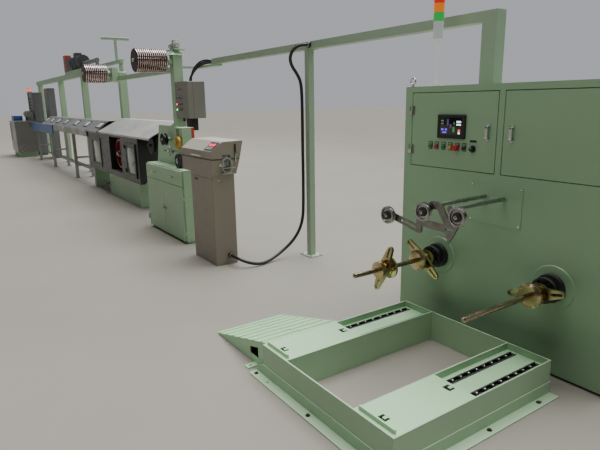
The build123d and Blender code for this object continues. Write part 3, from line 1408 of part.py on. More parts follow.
# On the gantry: drive box, gearbox and motor with its long shaft, and the lamp pole
drive_x = DRIVE_BEAM_X[0] + 20
gearbox_x = (drive_x + DRIVE_BOX_WIDTH, drive_x + DRIVE_BOX_WIDTH + GEARBOX_LENGTH)
motor_x = (gearbox_x[1], gearbox_x[1] + DRIVE_MOTOR_LENGTH)
motor_z = drive_beam_top + DRIVE_MOTOR_RADIUS + 10
shaft_z = upper_rail_top + 2.5 * DRIVE_SHAFT_RADIUS
lamp_x = last_column - LAMP_POLE_OFFSET
lamp_bar_y = (GANTRY_Y - LAMP_BAR_LENGTH / 2, GANTRY_Y + LAMP_BAR_LENGTH / 2)
with BuildPart() as gantry_units:
    box_between(
        (drive_x, drive_x + DRIVE_BOX_WIDTH),
        (GANTRY_Y - DRIVE_BOX_DEPTH / 2, GANTRY_Y + DRIVE_BOX_DEPTH / 2),
        (drive_beam_top, drive_beam_top + DRIVE_BOX_HEIGHT),
    )
    box_between(
        gearbox_x,
        (GANTRY_Y - DRIVE_BOX_DEPTH / 2, GANTRY_Y + DRIVE_BOX_DEPTH / 2),
        (drive_beam_top, drive_beam_top + GEARBOX_HEIGHT),
    )
    round_bar((motor_x[0], GANTRY_Y, motor_z), (motor_x[1], GANTRY_Y, motor_z), DRIVE_MOTOR_RADIUS)
    for x in (motor_x[0] + 120, motor_x[1] - 180):
        box_between((x, x + 60), beam_y, (drive_beam_top, motor_z))
    box_between(
        (motor_x[0] + 250, motor_x[0] + 480),
        (GANTRY_Y - 70, GANTRY_Y + 70),
        (motor_z, motor_z + DRIVE_MOTOR_RADIUS + 70),
    )
    round_bar(
        (motor_x[1], GANTRY_Y, shaft_z),
        (motor_x[1] + DRIVE_SHAFT_LENGTH, GANTRY_Y, shaft_z),
        DRIVE_SHAFT_RADIUS,
    )
    shaft_end = motor_x[1] + DRIVE_SHAFT_LENGTH
    box_between(
        (shaft_end - 50, shaft_end), (GANTRY_Y - half_rail, GANTRY_Y + half_rail), (upper_rail_top, shaft_z)
    )
    box_between(
        (lamp_x - LAMP_POLE_SECTION / 2, lamp_x + LAMP_POLE_SECTION / 2),
        (GANTRY_Y - LAMP_POLE_SECTION / 2, GANTRY_Y + LAMP_POLE_SECTION / 2),
        (upper_rail_top, LAMP_POLE_TOP),
    )
    box_between(
        (lamp_x - LAMP_POLE_SECTION / 2, lamp_x + LAMP_POLE_SECTION / 2),
        lamp_bar_y,
        (LAMP_POLE_TOP - 25, LAMP_POLE_TOP),
    )
    round_bar(
        (lamp_x, lamp_bar_y[0], LAMP_POLE_TOP + 12), (lamp_x, lamp_bar_y[1], LAMP_POLE_TOP + 12), 14
    )
gantry_units.part.label = "gantry_units"

# Switch cabinets on plinths behind the line
with BuildPart() as switch_cabinets:
    for left, front, width, depth, height in SWITCH_CABINETS:
        with BuildSketch(Plane.XY.offset(SWITCH_PLINTH)) as cabinet_plan:
            with Locations((left + width / 2, front + depth / 2)):
                RectangleRounded(width, depth, CABINET_CORNER)
        extrude(cabinet_plan.sketch, amount=height - SWITCH_PLINTH)
        box_between(
            (left + PLINTH_INSET / 2, left + width - PLINTH_INSET / 2),
            (front + PLINTH_INSET / 2, front + depth - PLINTH_INSET / 2),
            (0, SWITCH_PLINTH),
        )
switch_cabinets.part.label = "switch_cabinets"

# Capstan: green base, grey housing with an open wheel bay and two window doors
capstan_back = CAPSTAN_FRONT + CAPSTAN_DEPTH
base_y = (CAPSTAN_FRONT + 40, capstan_back)
base_leg_x = (CAPSTAN_X[0] + 45, CAPSTAN_X[0] + 45 + CAPSTAN_LEG_WIDTH)
with BuildPart() as machine_bases:
    box_between(CAPSTAN_BASE_X, base_y, (0, CAPSTAN_BASE_HEIGHT))
    box_between(base_leg_x, base_y, (0, CAPSTAN_BASE_HEIGHT))
    box_between(
        (base_leg_x[0], CAPSTAN_BASE_X[0]),
        (base_y[1] - 100, base_y[1]),
        (CAPSTAN_BASE_HEIGHT - 60, CAPSTAN_BASE_HEIGHT),
    )
    box_between(
        (HEAD_X[0] + HEAD_BASE_INSET, HEAD_X[1] - HEAD_BASE_INSET),
        (HEAD_Y[0] + HEAD_BASE_INSET, HEAD_Y[1] - HEAD_BASE_INSET),
        (0, HEAD_BODY_Z[0]),
    )
machine_bases.part.label = "machine_bases"

side_window_x = (CAPSTAN_X[0] + 315, CAPSTAN_X[0] + 935)
window_door_x = (CAPSTAN_X[1] - 590, CAPSTAN_X[1] - 100)
window_hinge_x = window_door_x[0] - 1
window_door_z = (CAPSTAN_BASE_HEIGHT + 75, CAPSTAN_TOP - 85)
wheel_bay_x = (CAPSTAN_WHEEL_X - 325, CAPSTAN_WHEEL_X + 325)
wheel_bay_z = (CAPSTAN_WHEEL_Z - 280, CAPSTAN_WHEEL_Z + 270)
with BuildPart() as capstan_housing:
    box_between(CAPSTAN_X, (CAPSTAN_FRONT, capstan_back), (CAPSTAN_BASE_HEIGHT, CAPSTAN_TOP))
    box_between(
        wheel_bay_x,
        (CAPSTAN_FRONT, CAPSTAN_FRONT + WHEEL_BAY_DEPTH),
        wheel_bay_z,
        mode=Mode.SUBTRACT,
    )
    box_between(
        (window_door_x[0] + 20, window_door_x[1] - 20),
        (CAPSTAN_FRONT, CAPSTAN_FRONT + 180),
        (window_door_z[0] + 20, window_door_z[1] - 20),
        mode=Mode.SUBTRACT,
    )
    for z in (window_door_z[0] + 90, window_door_z[1] - 60):
        hinge_fixed(window_hinge_x, CAPSTAN_FRONT - 19, z, -1)
        box_between(
            (window_hinge_x - HINGE_LEAF, window_hinge_x - 4),
            (CAPSTAN_FRONT - 20, CAPSTAN_FRONT),
            (z - HINGE_LENGTH / 2, z - HINGE_STAND_OFF),
        )
    box_between(side_window_x, (CAPSTAN_FRONT - 2 * WINDOW_SET_BACK, CAPSTAN_FRONT), window_door_z)
    box_between(
        (side_window_x[0] + WINDOW_FRAME, side_window_x[1] - WINDOW_FRAME),
        (CAPSTAN_FRONT - 2 * WINDOW_SET_BACK, CAPSTAN_FRONT - WINDOW_SET_BACK),
        (window_door_z[0] + WINDOW_FRAME, window_door_z[1] - WINDOW_FRAME),
        mode=Mode.SUBTRACT,
    )
    wheel_y = CAPSTAN_FRONT + WHEEL_BAY_DEPTH
    round_bar(
        (CAPSTAN_WHEEL_X, wheel_y, CAPSTAN_WHEEL_Z),
        (CAPSTAN_WHEEL_X, wheel_y - 170, CAPSTAN_WHEEL_Z),
        25,
    )
    round_bar(
        (EXIT_PULLEY_X, capstan_back - 60, EXIT_PULLEY_Z),
        (EXIT_PULLEY_X, CAPSTAN_FRONT + 40, EXIT_PULLEY_Z),
        20,
    )
    box_between(
        (CAPSTAN_X[1], EXIT_PULLEY_X + 60),
        (capstan_back - 120, capstan_back - 60),
        (EXIT_PULLEY_Z - 60, CAPSTAN_TOP),
    )
capstan_housing.part.label = "capstan_housing"


# Sheet door with a window opening closed by a pane set back in it
with BuildPart() as capstan_door:
    box_between(window_door_x, (CAPSTAN_FRONT - 19, CAPSTAN_FRONT - 1), window_door_z)
    box_between(
        (window_door_x[0] + WINDOW_FRAME, window_door_x[1] - WINDOW_FRAME),
        (CAPSTAN_FRONT - 19, CAPSTAN_FRONT - 19 + WINDOW_SET_BACK),
        (window_door_z[0] + WINDOW_FRAME, window_door_z[1] - WINDOW_FRAME),
        mode=Mode.SUBTRACT,
    )
    for z in (window_door_z[0] + 90, window_door_z[1] - 60):
        hinge_moving(window_hinge_x, CAPSTAN_FRONT - 19, z, 1)
capstan_door.part.label = "capstan_door"

with BuildPart() as capstan_wheel:
    turned(
        CAPSTAN_WHEEL_X,
        CAPSTAN_FRONT + 150,
        CAPSTAN_WHEEL_Z,
        [
            (CAPSTAN_WHEEL_RADIUS - 30, 0),
            (CAPSTAN_WHEEL_RADIUS, 0),
            (CAPSTAN_WHEEL_RADIUS, 10),
            (CAPSTAN_WHEEL_RADIUS - 12, 20),
            (CAPSTAN_WHEEL_RADIUS - 12, 60),
            (CAPSTAN_WHEEL_RADIUS, 70),
            (CAPSTAN_WHEEL_RADIUS, 80),
            (CAPSTAN_WHEEL_RADIUS - 30, 80),
        ],
    )
    turned(
        CAPSTAN_WHEEL_X,
        CAPSTAN_FRONT + 150,
        CAPSTAN_WHEEL_Z,
        [(25 + SHAFT_CLEARANCE, 0), (60, 0), (60, 80), (25 + SHAFT_CLEARANCE, 80)],
    )
    with BuildSketch(front_plane(CAPSTAN_FRONT + 120)):
        with Locations((CAPSTAN_WHEEL_X, CAPSTAN_WHEEL_Z)):
            with PolarLocations(130, 6):
                Rectangle(170, 34)
    extrude(amount=20)
capstan_wheel.part.label = "capstan_wheel"

hood_ridge_y = capstan_back - 80
with BuildPart() as capstan_hood:
    prism(
        side_plane(HOOD_X[0]),
        [
            (CAPSTAN_FRONT, CAPSTAN_TOP),
            (CAPSTAN_FRONT, CAPSTAN_TOP + 25),
            (hood_ridge_y, HOOD_TOP),
            (capstan_back, HOOD_TOP),
            (capstan_back, CAPSTAN_TOP),
            (capstan_back - CAPSTAN_SHEET, CAPSTAN_TOP),
            (capstan_back - CAPSTAN_SHEET, HOOD_TOP - CAPSTAN_SHEET),
            (hood_ridge_y + 3, HOOD_TOP - CAPSTAN_SHEET),
            (CAPSTAN_FRONT + CAPSTAN_SHEET, CAPSTAN_TOP + 20),
            (CAPSTAN_FRONT + CAPSTAN_SHEET, CAPSTAN_TOP),
        ],
        HOOD_X[1] - HOOD_X[0],
    )
    prism(
        side_plane(HOOD_X[0]),
        [
            (CAPSTAN_FRONT, CAPSTAN_TOP),
            (CAPSTAN_FRONT, CAPSTAN_TOP + 25),
            (hood_ridge_y, HOOD_TOP),
            (capstan_back, HOOD_TOP),
            (capstan_back, CAPSTAN_TOP),
        ],
        CAPSTAN_SHEET,
    )
capstan_hood.part.label = "capstan_hood"

with BuildPart() as exit_pulleys:
    for y in (CAPSTAN_FRONT + 130, CAPSTAN_FRONT + 260):
        turned(
            EXIT_PULLEY_X,
            y,
            EXIT_PULLEY_Z,
            [
                (20 + SHAFT_CLEARANCE, 0),
                (EXIT_PULLEY_RADIUS, 0),
                (EXIT_PULLEY_RADIUS, 8),
                (EXIT_PULLEY_RADIUS - 28, 25),
                (EXIT_PULLEY_RADIUS, 42),
                (EXIT_PULLEY_RADIUS, 50),
                (20 + SHAFT_CLEARANCE, 50),
            ],
        )
    turned(
        EXIT_PULLEY_X,
        CAPSTAN_FRONT + 220,
        EXIT_PULLEY_Z,
        [(20 + SHAFT_CLEARANCE, 0), (40, 0), (40, 100), (20 + SHAFT_CLEARANCE, 100)],
    )
exit_pulleys.part.label = "exit_pulleys"

# Cooling trough with its lift-off lids, legs, drain pipes and control panel
trough_x = (TROUGH_START, CAPSTAN_X[0])
trough_back = TROUGH_FRONT + TROUGH_DEPTH
with BuildPart() as trough_body:
    prism(
        side_plane(trough_x[0]),
        [
            (TROUGH_FRONT, TROUGH_TOP),
            (TROUGH_FRONT, TROUGH_BOTTOM),
            (trough_back, TROUGH_BOTTOM),
            (trough_back, TROUGH_TOP),
            (trough_back - TROUGH_SHEET, TROUGH_TOP),
            (trough_back - TROUGH_SHEET, TROUGH_BOTTOM + TROUGH_SHEET),
            (TROUGH_FRONT + TROUGH_SHEET, TROUGH_BOTTOM + TROUGH_SHEET),
            (TROUGH_FRONT + TROUGH_SHEET, TROUGH_TOP),
        ],
        trough_x[1] - trough_x[0],
    )
trough_body.part.label = "trough_body"

lid_start = HOOD_X[0] - LID_COUNT * LID_LENGTH
with BuildPart() as trough_lids:
    for lid in range(LID_COUNT):
        start = lid_start + lid * LID_LENGTH
        prism(
            side_plane(start),
            [
                (TROUGH_FRONT, TROUGH_TOP),
                (TROUGH_FRONT, TROUGH_TOP + 25),
                (TROUGH_FRONT + 230, LID_TOP),
                (trough_back, LID_TOP),
                (trough_back, TROUGH_TOP),
                (trough_back - TROUGH_SHEET, TROUGH_TOP),
                (trough_back - TROUGH_SHEET, LID_TOP - TROUGH_SHEET),
                (TROUGH_FRONT + 233, LID_TOP - TROUGH_SHEET),
                (TROUGH_FRONT + TROUGH_SHEET, TROUGH_TOP + 20),
                (TROUGH_FRONT + TROUGH_SHEET, TROUGH_TOP),
            ],
            LID_LENGTH - DOOR_GAP,
        )
trough_lids.part.label = "trough_lids"

half_leg = LEG_SECTION / 2
with BuildPart() as trough_legs:
    for x in LEG_X:
        for y in (TROUGH_FRONT + 40, trough_back - 40):
            box_between((x - half_leg, x + half_leg), (y - half_leg, y + half_leg), (8, TROUGH_BOTTOM))
            box_between((x - LEG_SECTION, x + LEG_SECTION), (y - LEG_SECTION, y + LEG_SECTION), (0, 8))
        box_between(
            (x - 20, x + 20), (TROUGH_FRONT + 70, trough_back - 70), (LEG_BRACE_Z - 20, LEG_BRACE_Z + 20)
        )
    for y in (TROUGH_FRONT + 100, TROUGH_FRONT + 180):
        round_bar(
            (LEG_X[0] + 960, y, DRAIN_PIPE_Z), (CAPSTAN_X[0] - 20, y, DRAIN_PIPE_Z), DRAIN_PIPE_RADIUS
        )
    for x in LEG_X[1:]:
        box_between(
            (x - 20, x + 20),
            (TROUGH_FRONT + 40, trough_back - 40),
            (DRAIN_PIPE_Z - 2 * DRAIN_PIPE_RADIUS, DRAIN_PIPE_Z - DRAIN_PIPE_RADIUS + 4),
        )
trough_legs.part.label = "trough_legs"

with BuildPart() as trough_panel:
    box_between(
        TROUGH_PANEL_X, (TROUGH_FRONT - 22, TROUGH_FRONT), (TROUGH_BOTTOM - 100, TROUGH_TOP + 20)
    )
trough_panel.part.label = "trough_panel"

# Head station at the far end: closed body under a table, extruder barrel, lamp arm and chute to the trough
barrel_x = (HEAD_X[0] + 150, HEAD_X[1] - 300)
barrel_z = HEAD_BODY_Z[1] + 220
table_top = HEAD_BODY_Z[1] + HEAD_TABLE_THICKNESS
arm_x = HEAD_X[0] + 620
with BuildPart() as head_cabinet:
    box_between(HEAD_X, HEAD_Y, HEAD_BODY_Z)
    box_between(
        (HEAD_X[0], HEAD_X[1] + 2 * HEAD_TABLE_OVERHANG),
        (HEAD_Y[0] - HEAD_TABLE_OVERHANG, HEAD_Y[1] + HEAD_TABLE_OVERHANG),
        (HEAD_BODY_Z[1], table_top),
    )
    round_bar((barrel_x[0], 0, barrel_z), (barrel_x[1], 0, barrel_z), 90)
    for x in (barrel_x[0] + 100, barrel_x[1] - 220):
        box_between((x, x + 120), (-60, 60), (table_top, barrel_z))
    box_between(
        (arm_x - 20, arm_x + 20), (HEAD_Y[1] - 60, HEAD_Y[1] - 20), (table_top, HEAD_LAMP_Z)
    )
    box_between(
        (arm_x - 20, arm_x + 700), (HEAD_Y[1] - 60, HEAD_Y[1] - 20), (HEAD_LAMP_Z - 40, HEAD_LAMP_Z)
    )
    with BuildSketch(Plane.XY.offset(HEAD_LAMP_Z)) as beacon:
        with Locations((arm_x + 260, HEAD_Y[1] - 40)):
            Circle(45)
    extrude(beacon.sketch, amount=110)
    box_between((HEAD_X[1], TROUGH_START + CHUTE_LAP), CHUTE_Y, (TROUGH_BOTTOM + TROUGH_SHEET, CHUTE_TOP))
head_cabinet.part.label = "head_cabinet"

# Cable hose from the trunk to the spark tester: it runs down the post and then crosses the floor
HOSE_POINTS = [
    hose_exit,
    (6138, 425, 2050),
    (6116, 363, 2006),
    (6088, 347, 1935),
    (6074, 384, 1862),
    (6066, 449, 1797),
    (6063, 497, 1722),
    (6062, 510, 1600),
    (6064, 510, 1380),
    (6062, 510, 1100),
    (6064, 510, 820),
    (6062, 509, 560),
    (6060, 500, 400),
    (6050, 455, 272),
    (6036, 370, 165),
    (6022, 258, 85),
    (6040, 140, 36),
    (6070, 38, 18),
    (6096, -58, 20),
    (6092, -150, 42),
    (6058, -222, 74),
    (pedestal_x[1] + GLAND_LENGTH + 97, WIRE_Y, gland_z),
    (pedestal_x[1] + GLAND_LENGTH, WIRE_Y, gland_z),
]


def bend_radii(points):
    """Radius for each inner point: 0.45 of its shorter run over the tangent of half the turn."""
    radii = []
    for before, here, after in zip(points, points[1:], points[2:]):
        run_in = Vector(*here) - Vector(*before)
        run_out = Vector(*after) - Vector(*here)
        half_turn = run_in.get_angle(run_out) / 2
        turned = Vector(1, 0, 0).rotate(Axis.Z, half_turn)
        tangent = turned.Y / turned.X
        radii.append(0.45 * min(run_in.length, run_out.length) / tangent)
    return radii


hose_radii = bend_radii(HOSE_POINTS)
print("hose bend radii", [round(radius) for radius in hose_radii])
with BuildPart() as tester_hose:
    with BuildLine() as route:
        FilletPolyline(*HOSE_POINTS, radius=hose_radii)
    with BuildSketch(Plane(origin=HOSE_POINTS[0], z_dir=(0, -1, 0))):
        Circle(HOSE_RADIUS)
    sweep(path=route.line)
    hose_end = HOSE_POINTS[-1]
    box_between(
        (hose_end[0] - GLAND_LENGTH, hose_end[0]),
        (WIRE_Y - GLAND_RADIUS, WIRE_Y + GLAND_RADIUS),
        (gland_z - GLAND_RADIUS, gland_z + GLAND_RADIUS),
        mode=Mode.SUBTRACT,
    )
print("hose length", round(sum(edge.length for edge in route.line.edges())))
tester_hose.part.label = "tester_hose"

pieces = [
    takeup_housing, door_hinges, takeup_door_left, takeup_door_right, door_pull_left,
    door_pull_right, operator_screen, push_buttons, signal_tower, front_cover_panel, left_spindle_shaft,
    right_spindle_shaft, left_drive_flange, right_drive_flange, left_inner_nut, right_inner_nut,
    left_outer_nut, traverse_rods, traverse_bracket, *guide_pulleys, platform_frame, platform_decks,
    roller_beds, loading_ramp, cable_trunk, tester_pedestal, tester_head, tester_lid,
    electrode_guard, tool_cabinet, tool_drawer_left, tool_drawer_right, tool_door_left, tool_door_right,
    wheel_stand,
    stand_pulley,
    measuring_wheel,
    pressure_wheel,
    store_post,
    control_box,
    near_roller,
    far_roller,
    gantry_frame, store_rail, gantry_units, switch_cabinets, machine_bases,
    capstan_housing, capstan_door, capstan_wheel, capstan_hood, exit_pulleys, trough_body, trough_lids,
    trough_legs, trough_panel, head_cabinet, tester_hose,
]
for piece in pieces:
    export_step(piece.part, f"parts/{piece.part.label}.step")
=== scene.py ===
"""Dresses the wire extrusion line: paint, metal and plastic finishes and its small fittings."""

import math

import bpy
from mathutils import Matrix, Vector


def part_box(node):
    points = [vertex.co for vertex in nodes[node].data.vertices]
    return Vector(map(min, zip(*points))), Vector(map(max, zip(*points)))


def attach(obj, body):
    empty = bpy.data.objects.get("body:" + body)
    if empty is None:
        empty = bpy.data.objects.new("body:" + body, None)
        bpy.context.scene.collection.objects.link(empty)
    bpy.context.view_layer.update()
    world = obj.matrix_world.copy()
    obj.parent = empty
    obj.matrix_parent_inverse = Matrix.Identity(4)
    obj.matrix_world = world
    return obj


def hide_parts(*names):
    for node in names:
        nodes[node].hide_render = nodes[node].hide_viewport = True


bl_info = {
    "name": "Wire Line Dresser",
    "version": (1, 0, 0),
    "blender": (4, 5, 0),
    "location": "3D View > Sidebar > Wire Line",
    "description": "Finishes and small fittings for a wire extrusion line",
    "category": "Object",
}

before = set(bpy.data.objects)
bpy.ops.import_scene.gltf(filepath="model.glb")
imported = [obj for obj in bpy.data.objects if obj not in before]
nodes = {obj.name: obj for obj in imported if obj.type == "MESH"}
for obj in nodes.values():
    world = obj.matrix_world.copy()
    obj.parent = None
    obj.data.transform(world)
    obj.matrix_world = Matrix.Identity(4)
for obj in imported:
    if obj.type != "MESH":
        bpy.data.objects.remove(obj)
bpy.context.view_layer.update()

MM = 0.001
FRONT = (0, -1, 0)
ALONG = (1, 0, 0)
UP = (0, 0, 1)
DOWN = (0, 0, -1)
EVEN = (1.0, 1.0, 1.0)

# Camera of the photograph, in metres and degrees
PHOTO_WIDTH = 600
FOCAL_PIXELS = 524.33
SENSOR_WIDTH = 36.0
CAMERA_PLACE = Vector((10.325, -2.44, 1.54))
CAMERA_YAW = math.radians(145.969)
CAMERA_DIP = math.radians(13.276)
CAMERA_ROLL = math.radians(-0.956)

# Take-up cabinet: its front, screen, hinges, buttons, spindles and the wire guides' centres, in mm
CABINET_FRONT = 235
CABINET_TOP = 1621.6
SCREEN_FACE = 222.2
DOOR_HINGES_X = (7749.5, 9130.5)
DOOR_HINGES_Z = (1209.3, 1465.2)
BUTTONS_X = (7922, 7972, 8030, 8086, 8140, 8192)
DIAL_X = 8258
BUTTONS_Z = 1239
DIAL_RADIUS = 18.5
SPINDLES = (("left", 8040), ("right", 8840))
SPINDLE_Z = 520
GUIDES = (("guide_left", 8051, 861), ("guide_middle", 8330, 927), ("guide_right", 8570, 936))

# Platform lanes and their roller beds, in mm
LANES_X = (8032, 8837.5)
BED_OFFSET = 73
BED_START = -472
BED_PITCH = 63
BED_Z = 148

# Spark tester: its faces, the run and rise of its sloped front, and the middle of the display on it, in mm
TESTER_RIGHT = 5865
TESTER_FRONT = -400
SLOPE_FOOT_Z = 1100
SLOPE_RISE = (115, 85)
DISPLAY_X = 5772
DISPLAY_UP = 84

# Wire clamp on the tool cabinet, lenses on the control box and the winding motor on its post, in mm
CLAMP_Z = 998
LENSES_X = (3634.5, 3750.5)
LENSES_Y = 180.2
LENSES_Z = (1460, 1527, 1607, 1718)
MOTOR_AXIS = (300, 2282)

# Feet with floor bolts: store post, gantry columns and the trunk's post, in mm
STORE_POST = (3472, 266)
COLUMNS_X = (-8833, -5437, -2739, 249)
COLUMN_Y = 485
TRUNK_POST = (6085, 560)

# Lid windows and lid handles along the trough and the capstan's hand wheel, in mm
LID_WINDOWS_X = (-5240, -4500, -3680, -2770, -1700, -748, 240)
LID_HANDLES_X = (-4450, -2500, -550)
LID_RISE = (230, 175)
LID_MIDDLE = (18, 1172.4)
HANDLE_Z = 1062
HAND_WHEEL = (742, 180)

# Capstan windows as left, right, face and body, and switch cabinets as left, right, front and top, in mm
WINDOWS = (("side", -10, 510, -96, "plant"), ("door", 2135, 2525, -103, "window_door"))
WINDOW_Z = (505, 915)
SWITCH_DOORS = ((-8982, -8218, 130, 1916), (-7382, -6818, 340, 2006))

# Cable hose and trunk cables: routes, lengths and diameters in metres
HOSE_ROUTE = [
    (6.140, 0.497, 2.050), (6.138, 0.425, 2.050), (6.112, 0.360, 2.006), (6.080, 0.342, 1.935),
    (6.062, 0.374, 1.862), (6.054, 0.436, 1.797), (6.051, 0.482, 1.722), (6.050, 0.494, 1.600),
    (6.052, 0.494, 1.380), (6.050, 0.494, 1.100), (6.052, 0.494, 0.820), (6.050, 0.493, 0.560),
    (6.050, 0.486, 0.400), (6.044, 0.446, 0.272), (6.034, 0.366, 0.165), (6.022, 0.258, 0.085),
    (6.040, 0.140, 0.036), (6.070, 0.038, 0.018), (6.096, -0.058, 0.020), (6.092, -0.150, 0.042),
    (6.058, -0.222, 0.074), (5.986, -0.250, 0.090), (5.889, -0.250, 0.090),
]
HOSE_DIAMETER = 0.030
TRUNK_BUNDLE_ROUTES = [
    [
        (4.000, 0.592, 2.046), (3.905, 0.590, 2.050), (3.800, 0.574, 2.060), (3.706, 0.546, 2.056),
        (3.622, 0.508, 2.024), (3.572, 0.466, 1.962), (3.558, 0.430, 1.894), (3.556, 0.410, 1.850),
        (3.556, 0.408, 1.808),
    ],
    [
        (4.000, 0.572, 2.034), (3.910, 0.568, 2.036), (3.810, 0.548, 2.038), (3.724, 0.516, 2.024),
        (3.652, 0.476, 1.984), (3.612, 0.436, 1.922), (3.600, 0.408, 1.864), (3.598, 0.402, 1.808),
    ],
    [
        (4.000, 0.550, 2.050), (3.920, 0.546, 2.064), (3.830, 0.524, 2.076), (3.748, 0.488, 2.062),
        (3.684, 0.446, 2.012), (3.650, 0.412, 1.942), (3.640, 0.396, 1.872), (3.640, 0.392, 1.808),
    ],
]
BUNDLE_LENGTHS = (0.65, 0.58, 0.57)
BUNDLE_DIAMETER = 0.022


def linear(hex_colour):
    """Linear colour of an sRGB hex value."""
    channels = [int(hex_colour[start:start + 2], 16) / 255 for start in (0, 2, 4)]
    return tuple(c / 12.92 if c <= 0.04045 else ((c + 0.055) / 1.055) ** 2.4 for c in channels) + (1.0,)


def shade(colour, factor):
    """The same colour made lighter or darker."""
    return tuple(min(1.0, channel * factor) for channel in colour[:3]) + (1.0,)


def tones(colour, *steps):
    """Ramp stops of one colour, from (position, factor) steps."""
    return [(position, shade(colour, factor)) for position, factor in steps]


def levels(*steps):
    """Ramp stops of grey, from (position, value) steps."""
    return [(position, (value, value, value, 1.0)) for position, value in steps]


def add_node(tree, kind, inputs=None, output=0, stops=(), **settings):
    """Add a shader node with its settings, its input values or links and its ramp stops; gives one output."""
    node = tree.nodes.new("ShaderNode" + kind)
    for name, value in settings.items():
        setattr(node, name, value)
    for name, value in (inputs or {}).items():
        if isinstance(value, bpy.types.NodeSocket):
            tree.links.new(value, node.inputs[name])
        else:
            node.inputs[name].default_value = value
    for index, (position, colour) in enumerate(stops):
        elements = node.color_ramp.elements
        stop = elements[index] if index < 2 else elements.new(position)
        stop.position = position
        stop.color = colour
    return node.outputs[output] if node.outputs else node


def blank_material(name):
    """New material with an empty node tree; gives both."""
    material = bpy.data.materials.new(name)
    material.use_nodes = True
    material.node_tree.nodes.clear()
    return material, material.node_tree


def shaded(material, skin):
    """Close a material with one Principled shader that has these values and links."""
    shader = add_node(material.node_tree, "BsdfPrincipled", skin)
    add_node(material.node_tree, "OutputMaterial", {"Surface": shader})
    return material


def blotches(tree, size_mm, detail=2.0, roughness=0.5, stretch=EVEN):
    """Blotchy pattern in the piece's own coordinates, about size_mm across before its stretch."""
    place = add_node(tree, "TexCoord", output="Object")
    place = add_node(tree, "Mapping", {"Vector": place, "Scale": stretch})
    values = {"Vector": place, "Scale": 1000.0 / size_mm, "Detail": detail, "Roughness": roughness}
    return add_node(tree, "TexNoise", values)


def upward(tree):
    """0 on walls and undersides, 1 on faces that look up."""
    normal = add_node(tree, "NewGeometry", output="Normal")
    height = add_node(tree, "SeparateXYZ", {"Vector": normal}, "Z")
    return add_node(tree, "MapRange", {"Value": height, "From Min": 0.55, "From Max": 0.95})


def mottled(name, hex_colour, skin, drift, tone, gloss=(), grain=()):
    """One colour whose tone and gloss drift together; grain is the size, detail, strength and depth of a relief."""
    material, tree = blank_material(name)
    cloud = blotches(tree, *drift)
    colour = add_node(tree, "ValToRGB", {"Fac": cloud}, stops=tones(linear(hex_colour), *tone))
    skin["Base Color"] = colour
    if gloss:
        skin["Roughness"] = add_node(tree, "ValToRGB", {"Fac": cloud}, stops=levels(*gloss))
    if grain:
        size, detail, strength, depth = grain
        relief = {"Height": blotches(tree, size, detail), "Strength": strength, "Distance": depth * MM}
        skin["Normal"] = add_node(tree, "Bump", relief)
    if "Emission Strength" in skin:
        skin["Emission Color"] = colour
    return shaded(material, skin)


def plated(name, hex_colour, roughness=0.12):
    """Bright plating over polished metal: mirror-like, with a thin haze of finger marks."""
    gloss = ((0.4, roughness), (0.75, roughness + 0.1))
    return mottled(name, hex_colour, {"Metallic": 1.0}, (60, 3.0), ((0.35, 0.94), (0.7, 1.03)), gloss)


def moulded(name, hex_colour, roughness=0.45):
    """Moulded plastic: even and satin, with a fine spark-eroded grain."""
    gloss = ((0.3, roughness - 0.06), (0.7, roughness + 0.1))
    tone = ((0.3, 0.9), (0.7, 1.1))
    return mottled(name, hex_colour, {"IOR": 1.53}, (120, 3.0), tone, gloss, (3, 1.0, 0.15, 0.08))


def anodised(name, hex_colour, roughness=0.3):
    """Hard-anodised aluminium rim, turned before dyeing: satin, with fine lathe rings."""
    gloss = ((0.3, roughness), (0.7, roughness + 0.2))
    return mottled(name, hex_colour, {"Metallic": 0.7}, (22, 4.0, 0.6), ((0.3, 0.75), (0.7, 1.1)), gloss)


def lit(name, hex_colour, strength):
    """Lit lens or liquid-crystal patch: it glows evenly, with the faint dot grain of its diffuser."""
    skin = {"Roughness": 0.25, "Emission Strength": strength}
    return mottled(name, hex_colour, skin, (2, 1.0), ((0.3, 0.85), (0.7, 1.1)))


def pane(name, hex_colour, roughness=0.08):
    """Acrylic pane over a dim interior: glossy, with a drift of splash marks."""
    skin = {"IOR": 1.49, "Coat Weight": 0.5, "Coat Roughness": 0.05}
    gloss = ((0.4, roughness), (0.75, roughness + 0.2))
    return mottled(name, hex_colour, skin, (90, 5.0, 0.65), ((0.35, 0.8), (0.7, 1.15)), gloss)


